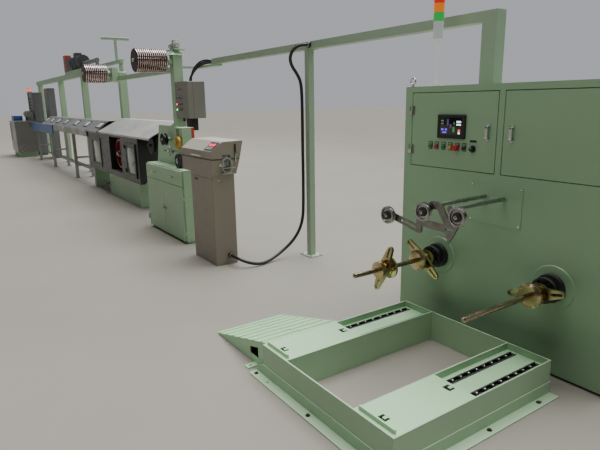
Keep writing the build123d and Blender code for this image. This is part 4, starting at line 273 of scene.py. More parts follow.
def powder_coat(name, hex_colour, roughness=0.42, dust_and_top_light=0.25, scuffs=0.3):
    """Polyester powder coat on sheet steel, sprayed and baked: satin, faint orange peel; faces that look up are
    painted lighter, partly dust and partly painted top light.
    """
    base = linear(hex_colour)
    material, tree = blank_material(name)
    marks = blotches(tree, 70, 8.0, 0.72)
    body = add_node(
        tree, "ValToRGB", {"Fac": blotches(tree, 900, 3.0)}, stops=tones(base, (0.3, 0.93), (0.7, 1.05))
    )
    scuff = add_node(tree, "ValToRGB", {"Fac": marks}, stops=levels((0.62, 0.0), (0.74, scuffs)))
    worn = add_node(tree, "Mix", {0: scuff, 6: body, 7: shade(base, 0.72)}, 2, data_type="RGBA")
    # Faces that look up get a lighter tone: dust, and painted light on the tops.
    tone_mask = add_node(tree, "Math", {0: upward(tree), 1: dust_and_top_light}, operation="MULTIPLY")
    dust_and_top_light_tone = tuple((low + high) / 2 for low, high in zip(shade(base, 1.35), linear("d0d1c4")))
    gloss = levels((0.35, roughness - 0.07), (0.75, roughness + 0.16))
    peel = {"Height": blotches(tree, 7, 2.0), "Strength": 0.12, "Distance": 0.12 * MM}
    return shaded(material, {
        "Base Color": add_node(tree, "Mix", {0: tone_mask, 6: worn, 7: dust_and_top_light_tone}, 2, data_type="RGBA"),
        "Roughness": add_node(tree, "ValToRGB", {"Fac": marks}, stops=gloss),
        "Normal": add_node(tree, "Bump", peel),
        "IOR": 1.5,
        "Coat Weight": 0.08,
        "Coat Roughness": 0.25,
    })


def turned_steel(name, hex_colour, roughness=0.3, grain=(1.0, 60.0, 1.0), stain=0.35, stain_hex="5a4632"):
    """Bar or turned steel, machined and handled: tool lines along one axis and brown storage stain."""
    material, tree = blank_material(name)
    lines = blotches(tree, 24, 4.0, 0.6, grain)
    patches = blotches(tree, 55, 5.0, 0.6)
    steel = tones(linear(hex_colour), (0.3, 0.82), (0.7, 1.12))
    bright = add_node(tree, "ValToRGB", {"Fac": lines}, stops=steel)
    stained = add_node(tree, "ValToRGB", {"Fac": patches}, stops=levels((0.45, 0.0), (0.7, stain)))
    gloss = levels((0.3, roughness - 0.08), (0.75, roughness + 0.2))
    brown = {0: stained, 6: bright, 7: linear(stain_hex)}
    return shaded(material, {
        "Base Color": add_node(tree, "Mix", brown, 2, data_type="RGBA"),
        "Roughness": add_node(tree, "ValToRGB", {"Fac": patches}, stops=gloss),
        "Normal": add_node(tree, "Bump", {"Height": lines, "Strength": 0.25, "Distance": 0.08 * MM}),
        "Metallic": 1.0,
    })


def zinc_yellow(name):
    """Yellow zinc passivation on turned steel: gold with a rosy and greenish drift over the faces."""
    material, tree = blank_material(name)
    marks = blotches(tree, 45, 3.0)
    hues = zip((0.3, 0.45, 0.6, 0.74), ("857b58", "b3a279", "c9b58c", "b78f78"))
    golds = [(position, linear(hue)) for position, hue in hues]
    return shaded(material, {
        "Base Color": add_node(tree, "ValToRGB", {"Fac": blotches(tree, 95, 2.0)}, stops=golds),
        "Roughness": add_node(tree, "ValToRGB", {"Fac": marks}, stops=levels((0.35, 0.14), (0.7, 0.28))),
        "Normal": add_node(tree, "Bump", {"Height": marks, "Strength": 0.1, "Distance": 0.1 * MM}),
        "Metallic": 1.0,
    })


def rolled_stainless(name, hex_colour="a9aaa6", roughness=0.34):
    """Cold-rolled stainless sheet with a brushed grain along the line and water marks."""
    base = linear(hex_colour)
    material, tree = blank_material(name)
    grain = blotches(tree, 40, 5.0, 0.6, (0.4, 30.0, 30.0))
    clouds = blotches(tree, 260, 4.0, 0.6)
    bright = add_node(tree, "ValToRGB", {"Fac": grain}, stops=tones(base, (0.3, 0.8), (0.7, 1.1)))
    gloss = levels((0.3, roughness - 0.08), (0.7, roughness + 0.14))
    dull = {0: clouds, 6: bright, 7: shade(base, 0.7)}
    return shaded(material, {
        "Base Color": add_node(tree, "Mix", dull, 2, data_type="RGBA"),
        "Roughness": add_node(tree, "ValToRGB", {"Fac": clouds}, stops=gloss),
        "Normal": add_node(tree, "Bump", {"Height": grain, "Strength": 0.2, "Distance": 0.1 * MM}),
        "Metallic": 0.9,
    })


def banded(name, axis, bands, roughness=0.3, glow=0.0):
    """Coloured plastic parts in one node: the colour changes where the axis passes each limit in metres."""
    material, tree = blank_material(name)
    place = add_node(tree, "TexCoord", output="Object")
    along = add_node(tree, "SeparateXYZ", {"Vector": place}, axis)
    grain = blotches(tree, 25, 3.0)
    colour = linear(bands[0][1])
    for limit, hex_colour in bands[1:]:
        above = add_node(tree, "Math", {0: along, 1: limit}, operation="GREATER_THAN")
        colour = add_node(tree, "Mix", {0: above, 6: colour, 7: linear(hex_colour)}, 2, data_type="RGBA")
    marked = add_node(tree, "ValToRGB", {"Fac": grain}, stops=levels((0.3, 0.0), (0.8, 0.25)))
    soiled = add_node(tree, "Mix", {0: 0.5, 6: colour, 7: linear("3a3a38")}, 2, data_type="RGBA")
    skin = {
        "Base Color": add_node(tree, "Mix", {0: marked, 6: colour, 7: soiled}, 2, data_type="RGBA"),
        "Normal": add_node(tree, "Bump", {"Height": grain, "Strength": 0.05, "Distance": 0.1 * MM}),
        "Roughness": roughness,
        "IOR": 1.5,
    }
    # Glow lights every band evenly, also bands that are no lamp: painted glow there.
    if glow:
        skin["Emission Color"] = colour
        skin["Emission Strength"] = glow
    return shaded(material, skin)


def ridged_roller(name, end, pitch):
    """Polished steel roller: bright ridges, and darker red-brown in the grooves between them."""
    material, tree = blank_material(name)
    place = add_node(tree, "TexCoord", output="Object")
    across = add_node(tree, "SeparateXYZ", {"Vector": place}, "Y")
    polish = [(0.3, linear("a8918b")), (0.7, linear("d2c3bf"))]
    bright = add_node(tree, "ValToRGB", {"Fac": blotches(tree, 40, 3.0, 0.55)}, stops=polish)
    count = {0: across, 1: 1000.0 / pitch, 2: -end / pitch}
    ridge = add_node(tree, "Math", count, operation="MULTIPLY_ADD")
    crest = add_node(tree, "Math", {0: ridge, 1: 0.5}, operation="PINGPONG")
    # Darker red-brown in the grooves between the ridges.
    tone_mask = add_node(tree, "ValToRGB", {"Fac": crest}, stops=levels((0.14, 1.0), (0.3, 0.0)))
    return shaded(material, {
        "Base Color": add_node(tree, "Mix", {0: tone_mask, 6: bright, 7: linear("4a2e2b")}, 2, data_type="RGBA"),
        "Roughness": add_node(tree, "ValToRGB", {"Fac": tone_mask}, stops=levels((0.1, 0.14), (0.9, 0.45))),
        "Metallic": 1.0,
    })


class LinePaint(bpy.types.PropertyGroup):
    """Colours of the line, as sRGB hex values."""

    mint: bpy.props.StringProperty(name="Mint paint", description="Main machine paint", default="a6c6a2")
    cabinet: bpy.props.StringProperty(name="Cabinet paint", description="Take-up cabinet", default="93b491")
    taupe: bpy.props.StringProperty(name="Taupe paint", description="Spark tester", default="8f877a")
    blue: bpy.props.StringProperty(name="Blue paint", description="Trough panels", default="2f5fa0")
    floor: bpy.props.StringProperty(name="Floor", description="Studio floor", default="949087")


class FittingSizes(bpy.types.PropertyGroup):
    """Sizes of the small fittings."""

    roller_radius: bpy.props.FloatProperty(
        name="Bed roller radius", description="Small rollers of the platform beds", default=0.011, unit="LENGTH"
    )
    roller_count: bpy.props.IntProperty(
        name="Bed rollers", description="Small rollers in each platform strip", default=8
    )


def only(*pieces):
    """Select just these pieces, the last one active."""
    bpy.ops.object.select_all(action="DESELECT")
    for piece in pieces:
        piece.select_set(True)
    bpy.context.view_layer.objects.active = pieces[-1]


def choose_faces(piece, test):
    """Go into edit mode with only the faces selected that pass the test."""
    only(piece)
    bpy.context.tool_settings.mesh_select_mode = (False, False, True)
    for group in (piece.data.vertices, piece.data.edges, piece.data.polygons):
        group.foreach_set("select", [False] * len(group))
    for face in piece.data.polygons:
        face.select = test(face)
    bpy.ops.object.mode_set(mode="EDIT")


def leave_edit():
    """Turn every face outwards and go back to object mode."""
    bpy.ops.mesh.select_all(action="SELECT")
    bpy.ops.mesh.normals_make_consistent(inside=False)
    bpy.ops.mesh.select_all(action="DESELECT")
    bpy.ops.object.mode_set(mode="OBJECT")


def slab(low, high, bevel=1.0, panel=None):
    """Block between two corners in mm, edges rounded; panel is the axis, side, margin and depth of a sunk face."""
    bpy.ops.object.select_all(action="DESELECT")
    bpy.ops.mesh.primitive_cube_add(size=1, location=[(a + b) / 2 * MM for a, b in zip(low, high)])
    piece = bpy.context.object
    piece.scale = [(b - a) * MM for a, b in zip(low, high)]
    bpy.ops.object.transform_apply(location=True, rotation=True, scale=True)
    if panel:
        axis, side, margin, depth = panel
        choose_faces(piece, lambda face: face.normal[axis] * side > 0.9)
        bpy.ops.mesh.inset(thickness=margin * MM, depth=-depth * MM)
        leave_edit()
    bpy.ops.object.mode_set(mode="EDIT")
    bpy.ops.mesh.select_all(action="SELECT")
    bpy.ops.mesh.bevel(offset=bevel * MM, segments=2, affect="EDGES", clamp_overlap=True)
    leave_edit()
    return piece


def carried(piece, turn, place):
    """Turn a piece that was made at the origin and carry it to a place in mm."""
    only(piece)
    piece.rotation_euler = turn
    piece.location = Vector(place) * MM
    bpy.ops.object.transform_apply(location=True, rotation=True, scale=True)
    return piece


def sloped_slab(foot, tilt, size, lift, bevel):
    """Block of a length, height and thickness in mm on a slope that faces the operator, lifted off it."""
    length, height, thickness = size
    piece = slab((-length / 2, -height / 2, 0), (length / 2, height / 2, thickness), bevel)
    return carried(piece, (tilt, 0, 0), Vector(foot) + Vector((0, -math.sin(tilt), math.cos(tilt))) * lift)


def turned(place, axis, profile, sides=24):
    """Turned or hexagonal fitting: a filled circle extruded and resized through (radius, reach) steps in mm."""
    bpy.ops.object.select_all(action="DESELECT")
    radius, reach = profile[0]
    bpy.ops.mesh.primitive_circle_add(vertices=sides, radius=radius * MM, fill_type="NGON", location=(0, 0, 0))
    piece = bpy.context.object
    piece.data.transform(Matrix.Translation((0, 0, reach * MM)))
    bpy.ops.object.mode_set(mode="EDIT")
    bpy.ops.mesh.select_all(action="SELECT")
    for next_radius, next_reach in profile[1:]:
        bpy.ops.mesh.extrude_region_move(
            TRANSFORM_OT_translate={"value": (0, 0, (next_reach - reach) * MM)}
        )
        if next_radius != radius:
            factor = next_radius / radius
            bpy.ops.transform.resize(value=(factor, factor, 1), center_override=(0, 0, next_reach * MM))
        radius, reach = next_radius, next_reach
    leave_edit()
    return carried(piece, Vector(UP).rotation_difference(Vector(axis)).to_euler(), place)


def hoop(place, radius, thickness, around, across):
    """Ring that stands facing the operator, at a place in mm."""
    bpy.ops.object.select_all(action="DESELECT")
    bpy.ops.mesh.primitive_torus_add(
        major_radius=radius * MM, minor_radius=thickness * MM, major_segments=around, minor_segments=across,
        location=Vector(place) * MM, rotation=(math.radians(90), 0, 0),
    )
    bpy.ops.object.transform_apply(location=True, rotation=True, scale=True)
    return bpy.context.object


def joined(*pieces):
    """Join pieces into one."""
    only(*pieces)
    if len(pieces) > 1:
        bpy.ops.object.join()
    return bpy.context.object


def spread(piece, offsets):
    """Copy a finished fitting to offsets in mm, each copy with its own mesh, and join the copies."""
    copies = []
    for offset in offsets:
        copy = piece.copy()
        copy.data = piece.data.copy()
        copy.data.transform(Matrix.Translation(Vector(offset) * MM))
        bpy.context.scene.collection.objects.link(copy)
        copies.append(copy)
    bpy.data.objects.remove(piece)
    return joined(*copies)


def fit(name, material, pieces, body="plant", angle=35):
    """Join the pieces of a fitting, name and smooth it, and give it its finish and body."""
    piece = joined(*pieces)
    bpy.ops.object.shade_smooth_by_angle(angle=math.radians(angle))
    piece.name = name
    piece.data.name = name
    piece.data.materials.clear()
    piece.data.materials.append(material)
    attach(piece, body)


def screw(place, axis, radius=5.0, head=3.0):
    """Pan-head screw with a sunk hexagon in its crown."""
    pan = [(radius, 0), (radius, head * 0.5), (radius * 0.8, head), (radius * 0.4, head)]
    socket = [(radius * 0.42, head * 0.9), (radius * 0.42, head * 1.04)]
    return joined(turned(place, axis, pan, 16), turned(place, axis, socket, 6))


def hex_bolt(place, axis, radius=12.0, head=8.0):
    """Hexagon bolt head with a chamfered crown on its washer."""
    washer = [(radius * 1.45, 0), (radius * 1.45, radius * 0.18)]
    crown = [(radius, radius * 0.18), (radius, head), (radius * 0.86, head + radius * 0.12)]
    return joined(turned(place, axis, washer, 20), turned(place, axis, crown, 6))


def look_along(yaw, dip, roll):
    """Right, up and forward directions of the camera."""
    forward = Vector((math.cos(dip) * math.cos(yaw), math.cos(dip) * math.sin(yaw), -math.sin(dip)))
    level = forward.cross(Vector(UP)).normalized()
    above = level.cross(forward)
    right = math.cos(roll) * level + math.sin(roll) * above
    up = -math.sin(roll) * level + math.cos(roll) * above
    return right, up, forward


def light(name, place, target, width, depth, power, colour):
    """Soft rectangular lamp at a place, aimed at a target."""
    bpy.ops.object.light_add(type="AREA", location=place)
    lamp = bpy.context.object
    lamp.name = name
    lamp.data.shape = "RECTANGLE"
    lamp.data.size = width
    lamp.data.size_y = depth
    lamp.data.energy = power
    lamp.data.color = colour
    lamp.rotation_euler = (Vector(target) - Vector(place)).to_track_quat("-Z", "Y").to_euler()


class LINE_OT_stage(bpy.types.Operator):
    """Camera at the photograph's angle, pale floor and soft studio light"""

    bl_idname = "line.stage"
    bl_label = "Stage"

    def execute(self, context):
        right, up, forward = look_along(CAMERA_YAW, CAMERA_DIP, CAMERA_ROLL)
        bpy.ops.object.camera_add(location=CAMERA_PLACE)
        camera = bpy.context.object
        turn = Matrix((right, up, -forward)).transposed().to_4x4()
        camera.matrix_world = Matrix.Translation(CAMERA_PLACE) @ turn
        camera.data.sensor_width = SENSOR_WIDTH
        camera.data.lens = SENSOR_WIDTH * FOCAL_PIXELS / PHOTO_WIDTH
        camera.data.clip_end = 200
        context.scene.camera = camera

        bpy.ops.mesh.primitive_plane_add(size=160, location=(0, 0, -0.0005))
        floor = bpy.context.object
        floor.name = "studio_floor"
        matt = {"Roughness": 0.6, "Specular IOR Level": 0.2}
        tone = ((0.3, 0.95), (0.7, 1.04))
        pale = context.scene.line_paint.floor
        floor.data.materials.append(mottled("studio_floor_paint", pale, matt, (1800, 4.0, 0.6), tone))

        world = bpy.data.worlds.new("studio_air")
        world.use_nodes = True
        air = world.node_tree
        aim = {0: add_node(air, "TexCoord", output="Generated"), 1: (-0.62, 0.78, 0.25)}
        side = add_node(air, "VectorMath", aim, "Value", operation="DOT_PRODUCT")
        span = {"Value": side, "From Min": -0.15, "From Max": 0.7, "To Min": 0.07, "To Max": 0.5}
        background = air.nodes["Background"]
        background.inputs["Color"].default_value = (0.86, 0.87, 0.93, 1.0)
        air.links.new(add_node(air, "MapRange", span), background.inputs["Strength"])
        context.scene.world = world
        bpy.ops.object.light_add(type="SUN", location=(0, 6, 10))
        roof = bpy.context.object
        roof.name = "roof_light"
        roof.data.energy = 4.1
        roof.data.angle = math.radians(50)
        roof.data.color = (1.0, 0.99, 0.97)
        roof.rotation_euler = (math.radians(-12), math.radians(-4), 0)
        light("window_light", (-1.0, 5.0, 7.5), (-1.0, 1.5, 0.5), 26.0, 4.0, 700.0, (0.95, 0.98, 1.0))
        light("front_light", (8.4, -2.2, 3.9), (8.3, 0.2, 1.6), 2.5, 1.0, 22.0, (1.0, 0.99, 0.97))
        return {"FINISHED"}


def free_line(name, route, diameter, material):
    """Round cable along one smooth curve through its route, which pulls it along."""
    curve = bpy.data.curves.new(name, "CURVE")
    curve.dimensions = "3D"
    spline = curve.splines.new("NURBS")
    spline.points.add(len(route) - 1)
    for point, place in zip(spline.points, route):
        point.co = (*place, 1.0)
    spline.order_u = 3
    spline.use_endpoint_u = True
    spline.resolution_u = 12
    curve.bevel_depth = diameter / 2
    curve.bevel_resolution = 6
    curve.use_fill_caps = True
    line = bpy.data.objects.new(name, curve)
    bpy.context.scene.collection.objects.link(line)
    curve.materials.append(material)
    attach(line, "plant")
    return line


class LINE_OT_hose(bpy.types.Operator):
    """Cable hose from the trunk over the floor to the tester, and three cables from the trunk's open end"""

    bl_idname = "line.hose"
    bl_label = "Cable hose"

    def execute(self, context):
        black = moulded("polyamide_conduit_black", "1d1e1f", 0.5)
        hose = free_line("cable_hose", HOSE_ROUTE, HOSE_DIAMETER, black)
        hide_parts("tester_hose")
        for name, route, length in zip(("upper", "middle", "lower"), TRUNK_BUNDLE_ROUTES, BUNDLE_LENGTHS):
            cable = free_line("trunk_cable_" + name, route, BUNDLE_DIAMETER, black)
        return {"FINISHED"}


def finish_nodes(material, names):
    """Give CAD nodes one material in their first slot."""
    for name in names.split():
        slots = nodes[name].data.materials
        if slots:
            slots[0] = material
        else:
            slots.append(material)


class LINE_OT_finishes(bpy.types.Operator):
    """Paint, metal and plastic finishes on the pieces that the model carries"""

    bl_idname = "line.finishes"
    bl_label = "Finishes"

    def execute(self, context):
        paint = context.scene.line_paint
        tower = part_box("signal_tower")[0].z
        caps = [
            (-10.0, "1f7a4d"), (7.947, "b3221f"), (8.001, "1f7a4d"), (8.058, "d3a21c"), (8.113, "c01d18"),
            (8.166, "1c1c1e"),
        ]
        lenses = [
            (-10.0, "b9bcbb"), (tower + 0.3, "9fa2a2"), (tower + 0.41, "2fa64a"), (tower + 0.465, "e07a1c"),
            (tower + 0.52, "d3271d"),
        ]
        units = [(-100.0, "9aa09c"), (-4.43, "c23a26"), (-4.19, "3f4444"), (-2.6, "6f7472"), (-0.1, "9fb79d")]
        finishes = (
            (powder_coat("polyester_powder_coat_cabinet", paint.cabinet, 0.4, 0.3, 0.12),
             "takeup_housing takeup_door_left takeup_door_right front_cover_panel"),
            (powder_coat("polyester_powder_coat_mint", paint.mint, 0.45, 0.16, 0.3),
             "platform_frame gantry_frame store_rail"),
            # Deck and ramp get a lighter, greener copy of the mint paint: painted light on the tops.
            (powder_coat("top_lit_mint_deck_paint", "abd6a9", 0.45, 0.05, 0.3), "platform_decks loading_ramp"),
            # Its high dust value paints faces that look up lighter: dust and painted top light.
            (powder_coat("shop_worn_mint_paint", paint.mint, 0.5, 0.45, 0.5),
             "store_post tool_cabinet tool_drawer_left tool_drawer_right tool_door_left tool_door_right"
             " wheel_stand machine_bases"),
            (powder_coat("textured_powder_coat_taupe", paint.taupe, 0.5, 0.3, 0.15), "tester_pedestal tester_head"),
            # Its very high dust value paints the lid's sloped top much lighter than its front: dust and painted top
            # light.
            (powder_coat("dusty_top_lit_powder_coat_taupe", paint.taupe, 0.45, 0.85, 0.15), "tester_lid"),
            (powder_coat("textured_powder_coat_box", "86837d", 0.5, 0.25, 0.2), "control_box"),
            (powder_coat("grey_green_trunk_enamel", "9fb49c", 0.45, 0.2, 0.4), "cable_trunk"),
            (powder_coat("enamel_dark_grey_housing", "292b2d", 0.36, 0.25, 0.4), "capstan_housing capstan_door"),
            (powder_coat("enamel_switch_cabinet_grey", "6c6f70", 0.4, 0.25, 0.3), "switch_cabinets"),
            (powder_coat("enamel_blue_panel", paint.blue, 0.4, 0.2, 0.2), "trough_panel"),
            (powder_coat("enamel_red_wheel", "94282a", 0.35, 0.15, 0.4), "capstan_wheel"),
            (powder_coat("black_oxide_cast_iron", "17181a", 0.4, 0.15, 0.3),
             "left_drive_flange right_drive_flange roller_beds"),
            (plated("chrome_plated_zinc", "c9cacb"), "door_hinges door_pull_left door_pull_right"),
            (plated("dull_zinc_plated_wire", "d0c9c9", 0.42), "electrode_guard"),
            (plated("hard_chrome_bar", "a3a8a4", 0.26), "traverse_rods"),
            (turned_steel("mild_steel_bar", "a8977f", 0.2, (6.0, 1.0, 6.0), 0.3),
             "left_spindle_shaft right_spindle_shaft"),
            (zinc_yellow("yellow_zinc_nut"), "left_inner_nut right_inner_nut left_outer_nut"),
            (turned_steel("nickel_plated_plate", "83807d", 0.26, EVEN, 0.25, "4c4742"), "traverse_bracket"),
            (turned_steel("machined_aluminium_pulley", "a3a19e", 0.24, EVEN, 0.25, "5c5854"),
             "guide_pulley_left guide_pulley_middle guide_pulley_right"),
            (moulded("abs_screen_housing", "1b1c1f", 0.4), "operator_screen"),
            (moulded("nylon_pulley_black", "1a1a1b", 0.5), "stand_pulley exit_pulleys pressure_wheel"),
            (anodised("hard_anodised_gold_rim", "c9a02c"), "measuring_wheel"),
            (ridged_roller("polished_steel_roller_near", 110, 395 / 15), "near_roller"),
            (ridged_roller("polished_steel_roller_far", 22, 357 / 12), "far_roller"),
            (rolled_stainless("brushed_stainless_sheet"), "trough_body trough_lids trough_legs head_cabinet"),
            (rolled_stainless("weathered_stainless_hood", "dcdcd8", 0.5), "capstan_hood"),
            (banded("push_button_caps", "X", caps), "push_buttons"),
            # The glow lights every band, the grey ones too: painted glow on parts that are no lamp.
            (banded("signal_tower_lenses", "Z", lenses, 0.25, 0.5), "signal_tower"),
            (banded("gantry_unit_enamel", "X", units, 0.45), "gantry_units"),
        )
        for material, names in finishes:
            finish_nodes(material, names)
        return {"FINISHED"}


class LINE_OT_operator_panel(bpy.types.Operator):
    """Lit screen, legend plates and dial pointer on the left door"""

    bl_idname = "line.operator_panel"
    bl_label = "Operator panel"

    def execute(self, context):
        door = "door_left"
        glass = pane("chemically_strengthened_glass", "0d1118", 0.06)
        screen = slab((8005, SCREEN_FACE, 1320), (8175, SCREEN_FACE + 1, 1426), 0.3)
        fit("screen_glass", glass, [screen], door)
        patches = (
            ("white", "e6e9f2", 1.6, ((8135, 1394, 34, 11), (8135, 1378, 34, 9))),
            ("violet", "5b4fe0", 1.6, ((8016, 1346, 18, 11), (8046, 1346, 16, 11), (8026, 1329, 32, 9))),
            ("green", "2f7a3a", 0.9, ((8106, 1336, 16, 32), (8112, 1384, 10, 14))),
            ("red", "f04a3c", 1.8, ((8148, 1340, 16, 13),)),
            ("sky", "8fe0f2", 1.8, ((8148, 1325, 16, 12),)),
            ("plum", "51406a", 0.7, ((8060, 1376, 14, 40), (8084, 1360, 12, 26))),
            ("olive", "6f8048", 0.7, ((8014, 1401, 18, 8), (8014, 1384, 18, 8))),
        )
        for colour, hex_colour, strength, places in patches:
            blocks = [
                slab((x, SCREEN_FACE - 0.6, z), (x + width, SCREEN_FACE, z + height), 0.25)
                for x, z, width, height in places
            ]
            glow = lit("liquid_crystal_" + colour, hex_colour, strength)
            fit("screen_" + colour, glow, blocks, door)

        def legend(x, half, bottom, top, front, back, bevel):
            low = (x - half, CABINET_FRONT - front, BUTTONS_Z + bottom)
            return slab(low, (x + half, CABINET_FRONT + back, BUTTONS_Z + top), bevel)

        plates = [legend(x, 17, -18, 32, 1.6, 0.4, 0.6) for x in BUTTONS_X]
        plates.append(legend(DIAL_X, 24, 40, 54, 1.6, 0.4, 0.6))
        fit("legend_plates", moulded("abs_legend_plate", "1e1f20", 0.4), plates, door)
        fields = [legend(x, 13, 17, 29, 2.1, -1.4, 0.3) for x in BUTTONS_X]
        laminate = moulded("engraved_laminate_field", "8f938c", 0.45)
        fit("legend_fields", laminate, fields, door)
        rim = [(16.5, 0), (16.5, 3.2), (15.4, 4.4), (13.2, 4.4)]
        collars = spread(turned((0, CABINET_FRONT - 1.4, BUTTONS_Z), FRONT, rim, 32), [(x, 0, 0) for x in BUTTONS_X])
        fit("button_collars", plated("nickel_plated_collar", "8f9290", 0.22), [collars], door)
        pointer = slab((DIAL_X - 1.4, 210.3, BUTTONS_Z + 2), (DIAL_X + 1.4, 211.2, BUTTONS_Z + 12), 0.3)
        tick = turned((DIAL_X, 231.4, BUTTONS_Z + DIAL_RADIUS), FRONT, [(0.9, 0), (0.9, 0.7), (0.5, 0.9)], 6)
        marks = []
        for step in range(-5, 6):
            angle = math.radians(step * 27)
            marks.append((DIAL_RADIUS * math.sin(angle), 0, DIAL_RADIUS * (math.cos(angle) - 1)))
        white = moulded("filled_white_marking", "d9d9d2", 0.5)
        fit("dial_marks", white, [pointer, spread(tick, marks)], door)
        return {"FINISHED"}


class LINE_OT_cabinet_hardware(bpy.types.Operator):
    """Hinge plates, cover, flange and pulley fasteners, bearing seals and lifting eyes of the take-up cabinet"""

    bl_idname = "line.cabinet_hardware"
    bl_label = "Cabinet hardware"

    def execute(self, context):
        steel = plated("satin_nickel_hinge", "8d8578", 0.3)
        plate_face = CABINET_FRONT - 3.4
        for x, side, end in ((DOOR_HINGES_X[0], 1, "left"), (DOOR_HINGES_X[1], -1, "right")):
            for leaf_side, body in ((side, "door_" + end), (-side, "plant")):
                inner, outer = sorted((x + leaf_side * 8.5, x + leaf_side * 23))
                parts = []
                for z in DOOR_HINGES_Z:
                    parts.append(slab((inner, plate_face, z - 31), (outer, CABINET_FRONT, z + 31), 0.8))
                    for screw_z in (z - 20, z + 20):
                        parts.append(screw((x + leaf_side * 16, plate_face, screw_z), FRONT, 3.8, 2.2))
                fit("hinge_plates_" + body + "_" + end, steel, parts, body)
        bright = plated("zinc_plated_screw", "c4c6c2", 0.22)
        corners = [(x, 0, z) for x in (8275, 8605) for z in (813, 1027)]
        cover_screws = spread(screw((0, 231, 0), FRONT, 6.5, 3.4), corners)
        fit("cover_screws", bright, [cover_screws])
        oxide = powder_coat("black_oxide_screw", "202124", 0.35, 0.1, 0.2)
        for end, x in SPINDLES:
            heads = []
            for step in range(5):
                angle = math.radians(72 * step + 54)
                place = (x + 62 * math.cos(angle), 134, SPINDLE_Z + 62 * math.sin(angle))
                heads.append(screw(place, FRONT, 5.5, 5))
            fit("flange_screws_" + end, oxide, heads, "spindle_" + end)
        nitrile = moulded("nitrile_bearing_seal", "26211e", 0.5)
        for body, x, z in GUIDES:
            lip = [(26, 0), (26, 1.6), (24, 2.6), (17, 2.6), (16.4, 1.2)]
            fit("bearing_seal_" + body, nitrile, [turned((x, -271.5, z), FRONT, lip, 36)], body)
        nut = turned((0, -274.2, 0), FRONT, [(12.5, 0), (12.5, 4.6), (11, 5.4)], 6)
        nuts = spread(nut, [(x, 0, z) for body, x, z in GUIDES])
        fit("pulley_nuts", bright, [nuts], "traverse")
        eye = hoop((0, 0, 1657), 21, 5, 32, 10)
        shank = turned((0, 0, CABINET_TOP), UP, [(17, 0), (17, 3), (9, 5), (7, 12), (6, 17)], 20)
        corners = [(x, y, 0) for x in (7712, 9168) for y in (272, 1100)]
        fit("lifting_eyes", bright, [spread(joined(eye, shank), corners)])
        return {"FINISHED"}


class LINE_OT_platform_hardware(bpy.types.Operator):
    """Bed rollers, floor bolts and weld seams of the loading platform"""

    bl_idname = "line.platform_hardware"
    bl_label = "Platform hardware"

    def execute(self, context):
        sizes = context.scene.line_sizes
        radius = sizes.roller_radius / MM
        rim = [
            (3, 0), (3, 1.2), (radius - 1.4, 1.2), (radius, 2.6), (radius, 9.5), (radius - 1, 10.4),
            (radius - 1, 14.4), (radius, 15.3), (radius, 22.2), (radius - 1.4, 23.6), (3, 23.6), (3, 24.8),
        ]
        places = [
            (lane + side, BED_START + BED_PITCH * step, 0)
            for lane in LANES_X
            for side in (-BED_OFFSET, BED_OFFSET)
            for step in range(sizes.roller_count)
        ]
        rollers = spread(turned((-12.4, 0, BED_Z), ALONG, rim, 18), places)
        fit("bed_rollers", moulded("cast_nylon_roller", "1d1e1f", 0.4), [rollers])
        pin = turned((0, 0, BED_Z + radius - 0.6), UP, [(4.6, 0), (4.6, 0.8), (3.4, 2.0), (1.4, 2.6)], 12)
        stud = plated("polished_steel_stud", "d4d6d8", 0.2)
        fit("bed_roller_studs", stud, [spread(pin, places)])
        bolts = [(x, -1112, 0) for x in (7880, 8400, 8900)] + [(9000, y, 0) for y in (-900, -480, -78)]
        weathered = turned_steel("weathered_anchor_bolt", "57524c", 0.45, EVEN, 0.5, "3a2f26")
        fit("platform_anchors", weathered, [spread(hex_bolt((0, 0, 6), UP, 9, 7), bolts)])
        bead = turned((0, 0, 0), ALONG, [(1.2, 0), (3.0, 1.4), (3.4, 3.4), (3.0, 5.6), (1.2, 7.0)], 8)
        seams = ((7990, 8150), (8330, 8480), (8640, 8800))
        runs = [(x, -1081, 6.5) for start, stop in seams for x in range(start, stop, 6)]
        painted = powder_coat("painted_weld_bead", context.scene.line_paint.mint, 0.45, 0.2, 0.2)
        fit("platform_welds", painted, [spread(bead, runs)])
        return {"FINISHED"}


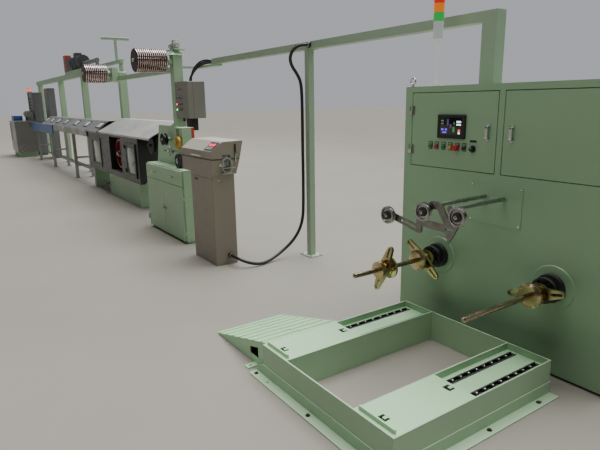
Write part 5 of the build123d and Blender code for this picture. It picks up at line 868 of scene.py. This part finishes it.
class LINE_OT_tester_fittings(bpy.types.Operator):
    """Display, keys, handle, seals, strap, knob, guard tray, bead electrodes and glands of the spark tester"""

    bl_idname = "line.tester_fittings"
    bl_label = "Tester fittings"

    def execute(self, context):
        black = moulded("abs_meter_case", "24201f", 0.4)
        chrome = plated("chrome_plated_brass", "c6c7c5", 0.14)
        run, rise = SLOPE_RISE
        tilt = math.atan2(rise, run)

        def on_front(x, along, size, lift, bevel=0.4):
            place = (x, TESTER_FRONT + along * math.cos(tilt), SLOPE_FOOT_Z + along * math.sin(tilt))
            return sloped_slab(place, tilt, size, lift, bevel)

        plate = on_front(DISPLAY_X, 68, (176, 118, 4), 0, 1.2)
        fit("display_plate", rolled_stainless("anodised_display_plate", "b9b4ae"), [plate], "lid")
        fit("display_case", black, [on_front(DISPLAY_X, 68, (166, 104, 1.2), 4)], "lid")
        window = on_front(DISPLAY_X, DISPLAY_UP, (142, 44, 1.2), 5.2)
        fit("display_window", pane("red_tinted_acrylic", "8f2f3a", 0.12), [window], "lid")
        upright, level = (3.4, 11, 0.5), (11, 3.4, 0.5)
        bars = (
            (-1, 1, upright), (1, 1, upright), (-1, -1, upright), (1, -1, upright), (0, 2, level), (0, -2, level),
        )
        strokes = [
            on_front(DISPLAY_X + digit * 24 + column * 6.5, DISPLAY_UP + row * 6.5, size, 6.4, 0.1)
            for digit in range(-2, 3)
            for column, row, size in bars
        ]
        fit("display_digits", lit("red_segment_diodes", "ff3050", 4.0), strokes, "lid")
        keys = [
            on_front(DISPLAY_X + column * 27, along, (20, 12, 1.4), 5.2)
            for column in range(-2, 3)
            for along in (30, 48)
        ]
        fit("display_keys", moulded("silicone_key", "b9b7b2", 0.55), keys, "lid")

        foot = [(10, 0), (10, 2), (6, 3.5), (6, 24)]
        bow = [turned((x, TESTER_FRONT, 1052), FRONT, foot, 16) for x in (5480, 5638)]
        bow.append(slab((5462, -430, 1046), (5656, -422, 1060), 3))
        fit("lid_handle", plated("polished_handle_strip", "d8d6d2", 0.3), bow, "lid")
        lips = [slab((5156, -401.6, 1020), (5864, -399.4, 1029), 0.5)]
        for low, high in ((-399, -292), (-208, -112)):
            lips.append(slab((5864.4, low, 1020), (5866.8, high, 1029), 0.5))
        fit("lid_seal", moulded("epdm_lid_seal", "2c2a27", 0.6), lips)
        finger_slot = slab((5450, -402.5, 806), (5530, -399.6, 828), 1.5, (1, -1, 5, 1.6))
        fit("pedestal_pull", black, [finger_slot])
        seam = slab((5364, -401.2, 845), (5856, -399.8, 847.4), 0.4)
        fit("pedestal_seam", moulded("neoprene_seam_strip", "33312d", 0.6), [seam])
        lock = turned((5859, -337, 830), ALONG, [(13, 0), (13, 2.5), (10.5, 4.5), (5, 4.5), (4.4, 3.0)], 24)
        fit("pedestal_lock", chrome, [lock])
        blank = slab((TESTER_RIGHT, -268, 884), (TESTER_RIGHT + 1.6, -206, 912), 0.5)
        fit("blank_plate", rolled_stainless("blank_data_plate", "d6d6cf"), [blank])
        strap = slab((5864.6, -164, 1040), (5870, -144, 1162), 2.0, (0, 1, 5, 1.8))
        rivet = turned((5870, -154, 1146), ALONG, [(6, 0), (6, 3), (3, 4)], 12)
        fit("lid_strap", black, [strap, rivet], "lid")
        lever = slab((5870.2, -163, 994), (5876, -149, 1082), 2.0)
        pivot = turned((5870, -156, 1060), ALONG, [(9, 0), (9, 8), (5, 9)], 16)
        fit("lid_strap_lever", chrome, [lever, pivot], "lid")
        grip = [(11, 0), (11, 4), (6, 6), (6, 20), (12, 22), (13, 26), (12, 34), (8, 37)]
        fit("channel_knob", chrome, [turned((TESTER_RIGHT, -326, 972), ALONG, grip, 24)])
        tray = [
            slab((TESTER_RIGHT, -308, 938), (5905, -176, 941), 1.0),
            slab((5902, -308, 938), (5905, -176, 950), 1.0),
            hex_bolt((5880, -296, 941), UP, 5, 4),
            hex_bolt((5880, -188, 941), UP, 5, 4),
        ]
        fit("guard_tray", rolled_stainless("stainless_guard_tray", "d9dad8", 0.3), tray)

        bead = turned((0, 0, 0), DOWN, [(0.9, 0), (2.6, 1.4), (3.2, 3.2), (2.6, 5.0), (0.9, 6.4)], 8)
        strands = [
            (5858 - 26 * row, -282 + 8 * strand + 4 * (row % 2), 1056 - 6.4 * link)
            for row in range(4)
            for strand in range(9)
            for link in range(17)
        ]
        fit("electrode_beads", chrome, [spread(bead, strands)], "lid", 60)

        glands = (
            ("trunk_gland", (6140, 526.6, 2050), (6140, 513, 2050), FRONT, 15.6),
            ("pedestal_gland", (5859.4, -250, 90), (5872, -250, 90), ALONG, 16.6),
        )
        for name, nut_place, cap_place, axis, reach in glands:
            nut = turned(nut_place, axis, [(29, 0), (29, 11), (27, 13)], 6)
            fit(name, black, [nut, turned(cap_place, axis, [(27, 0), (27, 9), (22, reach)])])
        return {"FINISHED"}


class LINE_OT_meter_fittings(bpy.types.Operator):
    """Side strip, counter, wire clamp, wheel hubs and door knobs around the tool cabinet"""

    bl_idname = "line.meter_fittings"
    bl_label = "Meter fittings"

    def execute(self, context):
        chrome = plated("chrome_plated_clamp", "babab8", 0.16)
        strip = slab((4728, -105, 1128), (4733, -71.5, 1274), 1.0, (0, 1, 6, 0.8))
        fit("meter_side_strip", powder_coat("enamel_red_strip", "c8432f", 0.4, 0.15, 0.2), [strip])
        counter = slab((4556, -158, 1190), (4632, -153.5, 1240), 1.2, (1, -1, 5, 1.2))
        fit("counter_case", moulded("phenolic_housing", "202020", 0.45), [counter])
        drum = turned((4560, -156.2, 1215), FRONT, [(5.5, 0), (5.5, 1.2), (4.8, 1.8)], 12)
        drums = spread(drum, [(step * 14, 0, 0) for step in range(5)])
        fit("counter_wheels", moulded("white_counter_drum", "c9c8bf", 0.5), [drums])
        clamp = [
            turned((4250, -170, CLAMP_Z), FRONT, [(14, 0), (14, 6), (8, 8), (8, 96)], 20),
            turned((4398, -170, CLAMP_Z), FRONT, [(18, 0), (18, 6), (10, 8), (10, 110), (8, 112)], 20),
            turned((4330, -248, CLAMP_Z), ALONG, [(7, 0), (7, 150)], 16),
            slab((4378, -262, 976), (4420, -232, 1020), 3),
            slab((4452, -262, 980), (4486, -232, 1016), 3),
        ]
        for x in (4390, 4409, 4470):
            clamp.append(hex_bolt((x, -262, CLAMP_Z + (x - 4400) * 0.3), FRONT, 6, 6))
        for z, axis in ((1020, UP), (976, DOWN)):
            clamp.append(turned((4399, -247, z), axis, [(5, 0), (5, 18), (11, 20), (11, 30), (8, 33)], 16))
        fit("wire_clamp", chrome, clamp)
        hub = turned((4675, -266.2, 1111), FRONT, [(30, 0), (30, 3), (16, 6), (16, 9)], 28)
        fit("measuring_hub", turned_steel("turned_hub_plate", "8a8a88", 0.3), [hub], "meter_wheel")
        hub = turned((4660, -267.2, 908), FRONT, [(34, 0), (34, 2), (22, 5), (22, 8)], 28)
        disc = turned_steel("turned_disc_plate", "a8a8a5", 0.25)
        fit("pressure_hub", disc, [hub], "wheel_pressing")
        grip = [(6, 0), (6, 10), (11, 12), (12, 18), (9, 24), (4, 25)]
        for end, x in (("left", 4290), ("right", 4360)):
            knob = turned((x, -330, 330), FRONT, grip, 20)
            fit("cupboard_knob_" + end, chrome, [knob], "cupboard_" + end)
        return {"FINISHED"}


class LINE_OT_post_fittings(bpy.types.Operator):
    """Control-box lenses, its door seam and glands, the winding motor on the post and floor bolts"""

    bl_idname = "line.post_fittings"
    bl_label = "Post fittings"

    def execute(self, context):
        dome = [(11.5, 0), (11.5, 2), (9.5, 5), (5, 6.4), (1.5, 6.8)]
        left, right = LENSES_X
        lowest, low, high, highest = LENSES_Z
        black = ((left, high), (right, high), (right, low), (right, lowest), (right, highest))
        lenses = (
            # The unlit red lens still glows faintly: painted glow.
            ("red_off", "7a2a26", 0.3, ((left, highest),)),
            ("black", "1a1a1b", 0.0, black),
            ("red_on", "ff2f55", 6.0, ((left, low),)),
            ("green_on", "25f07a", 6.0, ((left, lowest),)),
        )
        for name, hex_colour, glow, places in lenses:
            caps = [turned((x, LENSES_Y, z), FRONT, dome, 20) for x, z in places]
            fit("lens_" + name, lit("polycarbonate_lens_" + name, hex_colour, glow), caps)
        seam = slab((3963.6, 268, 1358), (3965.4, 270.5, 1800), 0.4)
        fit("box_door_seam", moulded("epdm_door_seal", "35332f", 0.6), [seam])
        gland = [(24, 0), (24, 8), (17, 10), (17, 42), (14, 48)]
        glands = [turned((x, 300, 1352), DOWN, gland, 16) for x in (3560, 3700, 3840)]
        duct = slab((3700, 262, 1196), (3900, 350, 1352), 10)
        fit("box_cable_glands", moulded("corrugated_duct", "1c1e20", 0.55), [duct, *glands])

        shell = [
            (38, 0), (42, 3), (42, 70), (34, 72), (34, 84), (46, 86), (46, 210), (42, 214), (30, 214), (30, 238),
        ]
        fin = turned((3340, *MOTOR_AXIS), ALONG, [(48, 0), (50, 1.5), (50, 3.5), (48, 5)], 28)
        motor = [
            turned((3250, *MOTOR_AXIS), ALONG, shell, 28),
            spread(fin, [(step * 11, 0, 0) for step in range(10)]),
            slab((3370, 262, 2324), (3430, 338, 2350), 4),
            slab((3310, 254, 2228), (3480, 346, 2242), 2),
        ]
        fit("winding_motor", powder_coat("enamel_motor_grey", "b9bbb8", 0.4, 0.3, 0.3), motor)
        plate = slab((3236, 226, 2214), (3560, 374, 2229), 2)
        web = slab((3440, 240, 2196), (3504, 292, 2216), 2)
        mint = powder_coat("mint_motor_plate", context.scene.line_paint.mint)
        fit("motor_plate", mint, [plate, web])
        steel = turned_steel("zinc_anchor_bolt", "8f8f8a", 0.35, EVEN, 0.4, "4a3f35")

        def around(x, y, across, along):
            return [(x + dx, y + dy, 0) for dx in (-across, across) for dy in (-along, along)]

        places = around(*STORE_POST, 118, 118)
        for x in COLUMNS_X:
            places += around(x, COLUMN_Y, 79, 79)
        fit("column_anchors", steel, [spread(hex_bolt((0, 0, 12), UP, 11, 9), places)])
        bolts = spread(hex_bolt((0, 0, 8), UP, 8, 7), around(*TRUNK_POST, 74, 56))
        fit("post_anchors", steel, [bolts])
        return {"FINISHED"}


class LINE_OT_capstan_fittings(bpy.types.Operator):
    """Panes, seals, latch and hand wheel of the capstan, and the windows and handles of the trough lids"""

    bl_idname = "line.capstan_fittings"
    bl_label = "Capstan fittings"

    def execute(self, context):
        clear = pane("clear_acrylic_pane", "8fa193", 0.1)
        rubber = moulded("epdm_window_seal", "1b1c1c", 0.55)
        steel = plated("stainless_latch", "a7a8a5", 0.22)
        sill, head = WINDOW_Z
        for name, left, right, y, body in WINDOWS:
            window = slab((left + 2, y - 1.8, sill + 2), (right - 2, y - 0.1, head - 2), 0.4)
            fit(name + "_window_pane", clear, [window], body)
            seals = [slab((left, y - 5.2, z), (right, y - 0.2, z + 11), 1.4) for z in (sill, head - 11)]
            seals += [slab((x, y - 5.2, sill), (x + 11, y - 0.2, head), 1.4) for x in (left, right - 11)]
            fit(name + "_window_seal", rubber, seals, body)
        latch = [
            turned((2548, -109, 700), FRONT, [(12, 0), (12, 3), (7, 5), (7, 26), (10, 28), (10, 36)], 16),
            slab((2542, -146, 640), (2554, -136, 706), 3),
        ]
        fit("window_door_latch", steel, latch, "window_door")

        run, rise = LID_RISE
        tilt = math.atan2(rise, run)
        frames, panes = [
            [sloped_slab((x, *LID_MIDDLE), tilt, size, lift, 1.5) for x in LID_WINDOWS_X]
            for size, lift in (((300, 164, 7), 0), ((252, 116, 2), 6))
        ]
        fit("lid_window_frames", rubber, frames)
        fit("lid_window_panes", pane("frosted_acrylic_pane", "d5d9d6", 0.25), panes)
        handles = []
        for x in LID_HANDLES_X:
            for end in (x - 60, x + 60):
                handles.append(turned((end, -112, HANDLE_Z), FRONT, [(7, 0), (7, 2), (4, 3), (4, 26)], 12))
            bar = [(3.4, 0), (4.4, 1), (4.4, 131), (3.4, 132)]
            handles.append(turned((x - 66, -136, HANDLE_Z), ALONG, bar, 12))
        fit("lid_handles", steel, handles)

        iron = powder_coat("machine_grey_iron", "7f827e", 0.4, 0.2, 0.4)
        x, z = HAND_WHEEL
        wheel = [
            hoop((x, -118, z), 88, 9, 40, 12),
            turned((x, -50, z), FRONT, [(16, 0), (16, 48), (24, 52), (24, 84), (15, 88)]),
            turned((x, -122, z + 88), FRONT, [(6, 0), (10, 4), (11, 30), (7, 40)], 16),
        ]
        for angle in (math.radians(90), math.radians(210), math.radians(330)):
            spoke = (math.cos(angle), 0, math.sin(angle))
            wheel.append(turned((x, -118, z), spoke, [(9, 12), (7, 40), (7, 84)], 12))
        fit("hand_wheel", iron, wheel)
        casing = slab((686, -52, 96), (795, 150, 264), 8, (1, -1, 14, 4))
        boss = turned((x, -50, z), FRONT, [(40, -2), (40, 6), (30, 10)])
        fit("hand_wheel_gear", iron, [casing, boss])
        nut = turned((1475, -38, 750), FRONT, [(44, 0), (44, 8), (30, 14), (30, 24), (22, 26)], 28)
        fit("capstan_shaft_nut", steel, [nut])
        return {"FINISHED"}


class LINE_OT_far_end_fittings(bpy.types.Operator):
    """Switch-cabinet seams and buttons, blue cases, heater bands and beacon, and the gantry drive's fins"""

    bl_idname = "line.far_end_fittings"
    bl_label = "Far end fittings"

    def execute(self, context):
        seams = []
        for left, right, front, top in SWITCH_DOORS:
            for low_x, high_x, low_z in ((left, left + 4, 80), (right - 4, right, 80), (left, right, top - 4)):
                seams.append(slab((low_x, front - 1.2, low_z), (high_x, front + 0.6, top), 0.4))
        fit("switch_door_seams", moulded("cabinet_door_gasket", "2b2c2b", 0.6), seams)
        cap = [(22, 0), (22, 6), (16, 8), (16, 22), (12, 25)]
        places = [(-8800 + column * 110, 0, 1750 - row * 95) for column in range(2) for row in range(6)]
        buttons = spread(turned((0, 130.6, 0), FRONT, cap, 20), places)
        fit("switch_buttons", moulded("black_push_button", "191a1b", 0.45), [buttons])
        case = slab((-9100, -440, 1085), (-8560, -180, 1240), 10, (1, -1, 20, 6))
        side = slab((-9190, -503, 480), (-8760, -499, 1000), 2, (1, -1, 24, 2))
        blue = powder_coat("enamel_blue_case", context.scene.line_paint.blue, 0.4, 0.25, 0.25)
        fit("head_blue_cases", blue, [case, side])
        zone = turned((-8950, 0, 1280), ALONG, [(104, 0), (104, 60), (94, 62)], 28)
        bands = spread(zone, [(step * 150, 0, 0) for step in range(5)])
        fit("barrel_heater_bands", rolled_stainless("mica_band_heater", "b5b3ad"), [bands])
        fin = turned((-3440, COLUMN_Y, 2500), ALONG, [(138, 0), (146, 2), (146, 8), (138, 10)], 32)
        fins = spread(fin, [(step * 22, 0, 0) for step in range(34)])
        fit("drive_motor_fins", powder_coat("cast_aluminium_fins", "4a4f50", 0.45, 0.3, 0.3), [fins])
        flange = turned((-4192, COLUMN_Y, 2495), ALONG, [(66, 0), (66, 12), (60, 14)], 28)
        flanges = spread(flange, [(0, 0, 0), (690, 0, 0)])
        fit("drive_flanges", powder_coat("painted_drive_flange", "2f3333", 0.4), [flanges])
        beacon = turned((-8320, 60, 2066), UP, [(40, 0), (40, 1), (30, 3.5)])
        glow = turned((-8320, 60, 1970), UP, [(46.2, 0), (47.4, 3), (47.4, 86), (46, 90)], 28)
        fit("head_beacon_lens", lit("orange_beacon_dome", "f2552c", 1.8), [beacon, glow])
        return {"FINISHED"}


class LINE_PT_panel(bpy.types.Panel):
    """Lists the line's operators in the sidebar"""

    bl_idname = "LINE_PT_panel"
    bl_label = "Wire Line"
    bl_space_type = "VIEW_3D"
    bl_region_type = "UI"
    bl_category = "Wire Line"

    def draw(self, context):
        for step in STEPS:
            self.layout.operator(step.bl_idname)
        for group in (context.scene.line_paint, context.scene.line_sizes):
            for name in group.__annotations__:
                self.layout.prop(group, name)


STEPS = (
    LINE_OT_stage,
    LINE_OT_hose,
    LINE_OT_finishes,
    LINE_OT_operator_panel,
    LINE_OT_cabinet_hardware,
    LINE_OT_platform_hardware,
    LINE_OT_tester_fittings,
    LINE_OT_meter_fittings,
    LINE_OT_post_fittings,
    LINE_OT_capstan_fittings,
    LINE_OT_far_end_fittings,
)
CLASSES = (LinePaint, FittingSizes, *STEPS, LINE_PT_panel)


def register():
    """Register the classes and the scene's property groups."""
    for entry in CLASSES:
        bpy.utils.register_class(entry)
    bpy.types.Scene.line_paint = bpy.props.PointerProperty(type=LinePaint)
    bpy.types.Scene.line_sizes = bpy.props.PointerProperty(type=FittingSizes)


def unregister():
    """Undo register."""
    del bpy.types.Scene.line_paint
    del bpy.types.Scene.line_sizes
    for entry in reversed(CLASSES):
        bpy.utils.unregister_class(entry)


def main():
    """Run every step in order."""
    register()
    bpy.ops.object.select_all(action="DESELECT")
    for step in STEPS:
        group, name = step.bl_idname.split(".")
        getattr(getattr(bpy.ops, group), name)()
        bpy.ops.object.select_all(action="DESELECT")


if __name__ == "__main__":
    main()
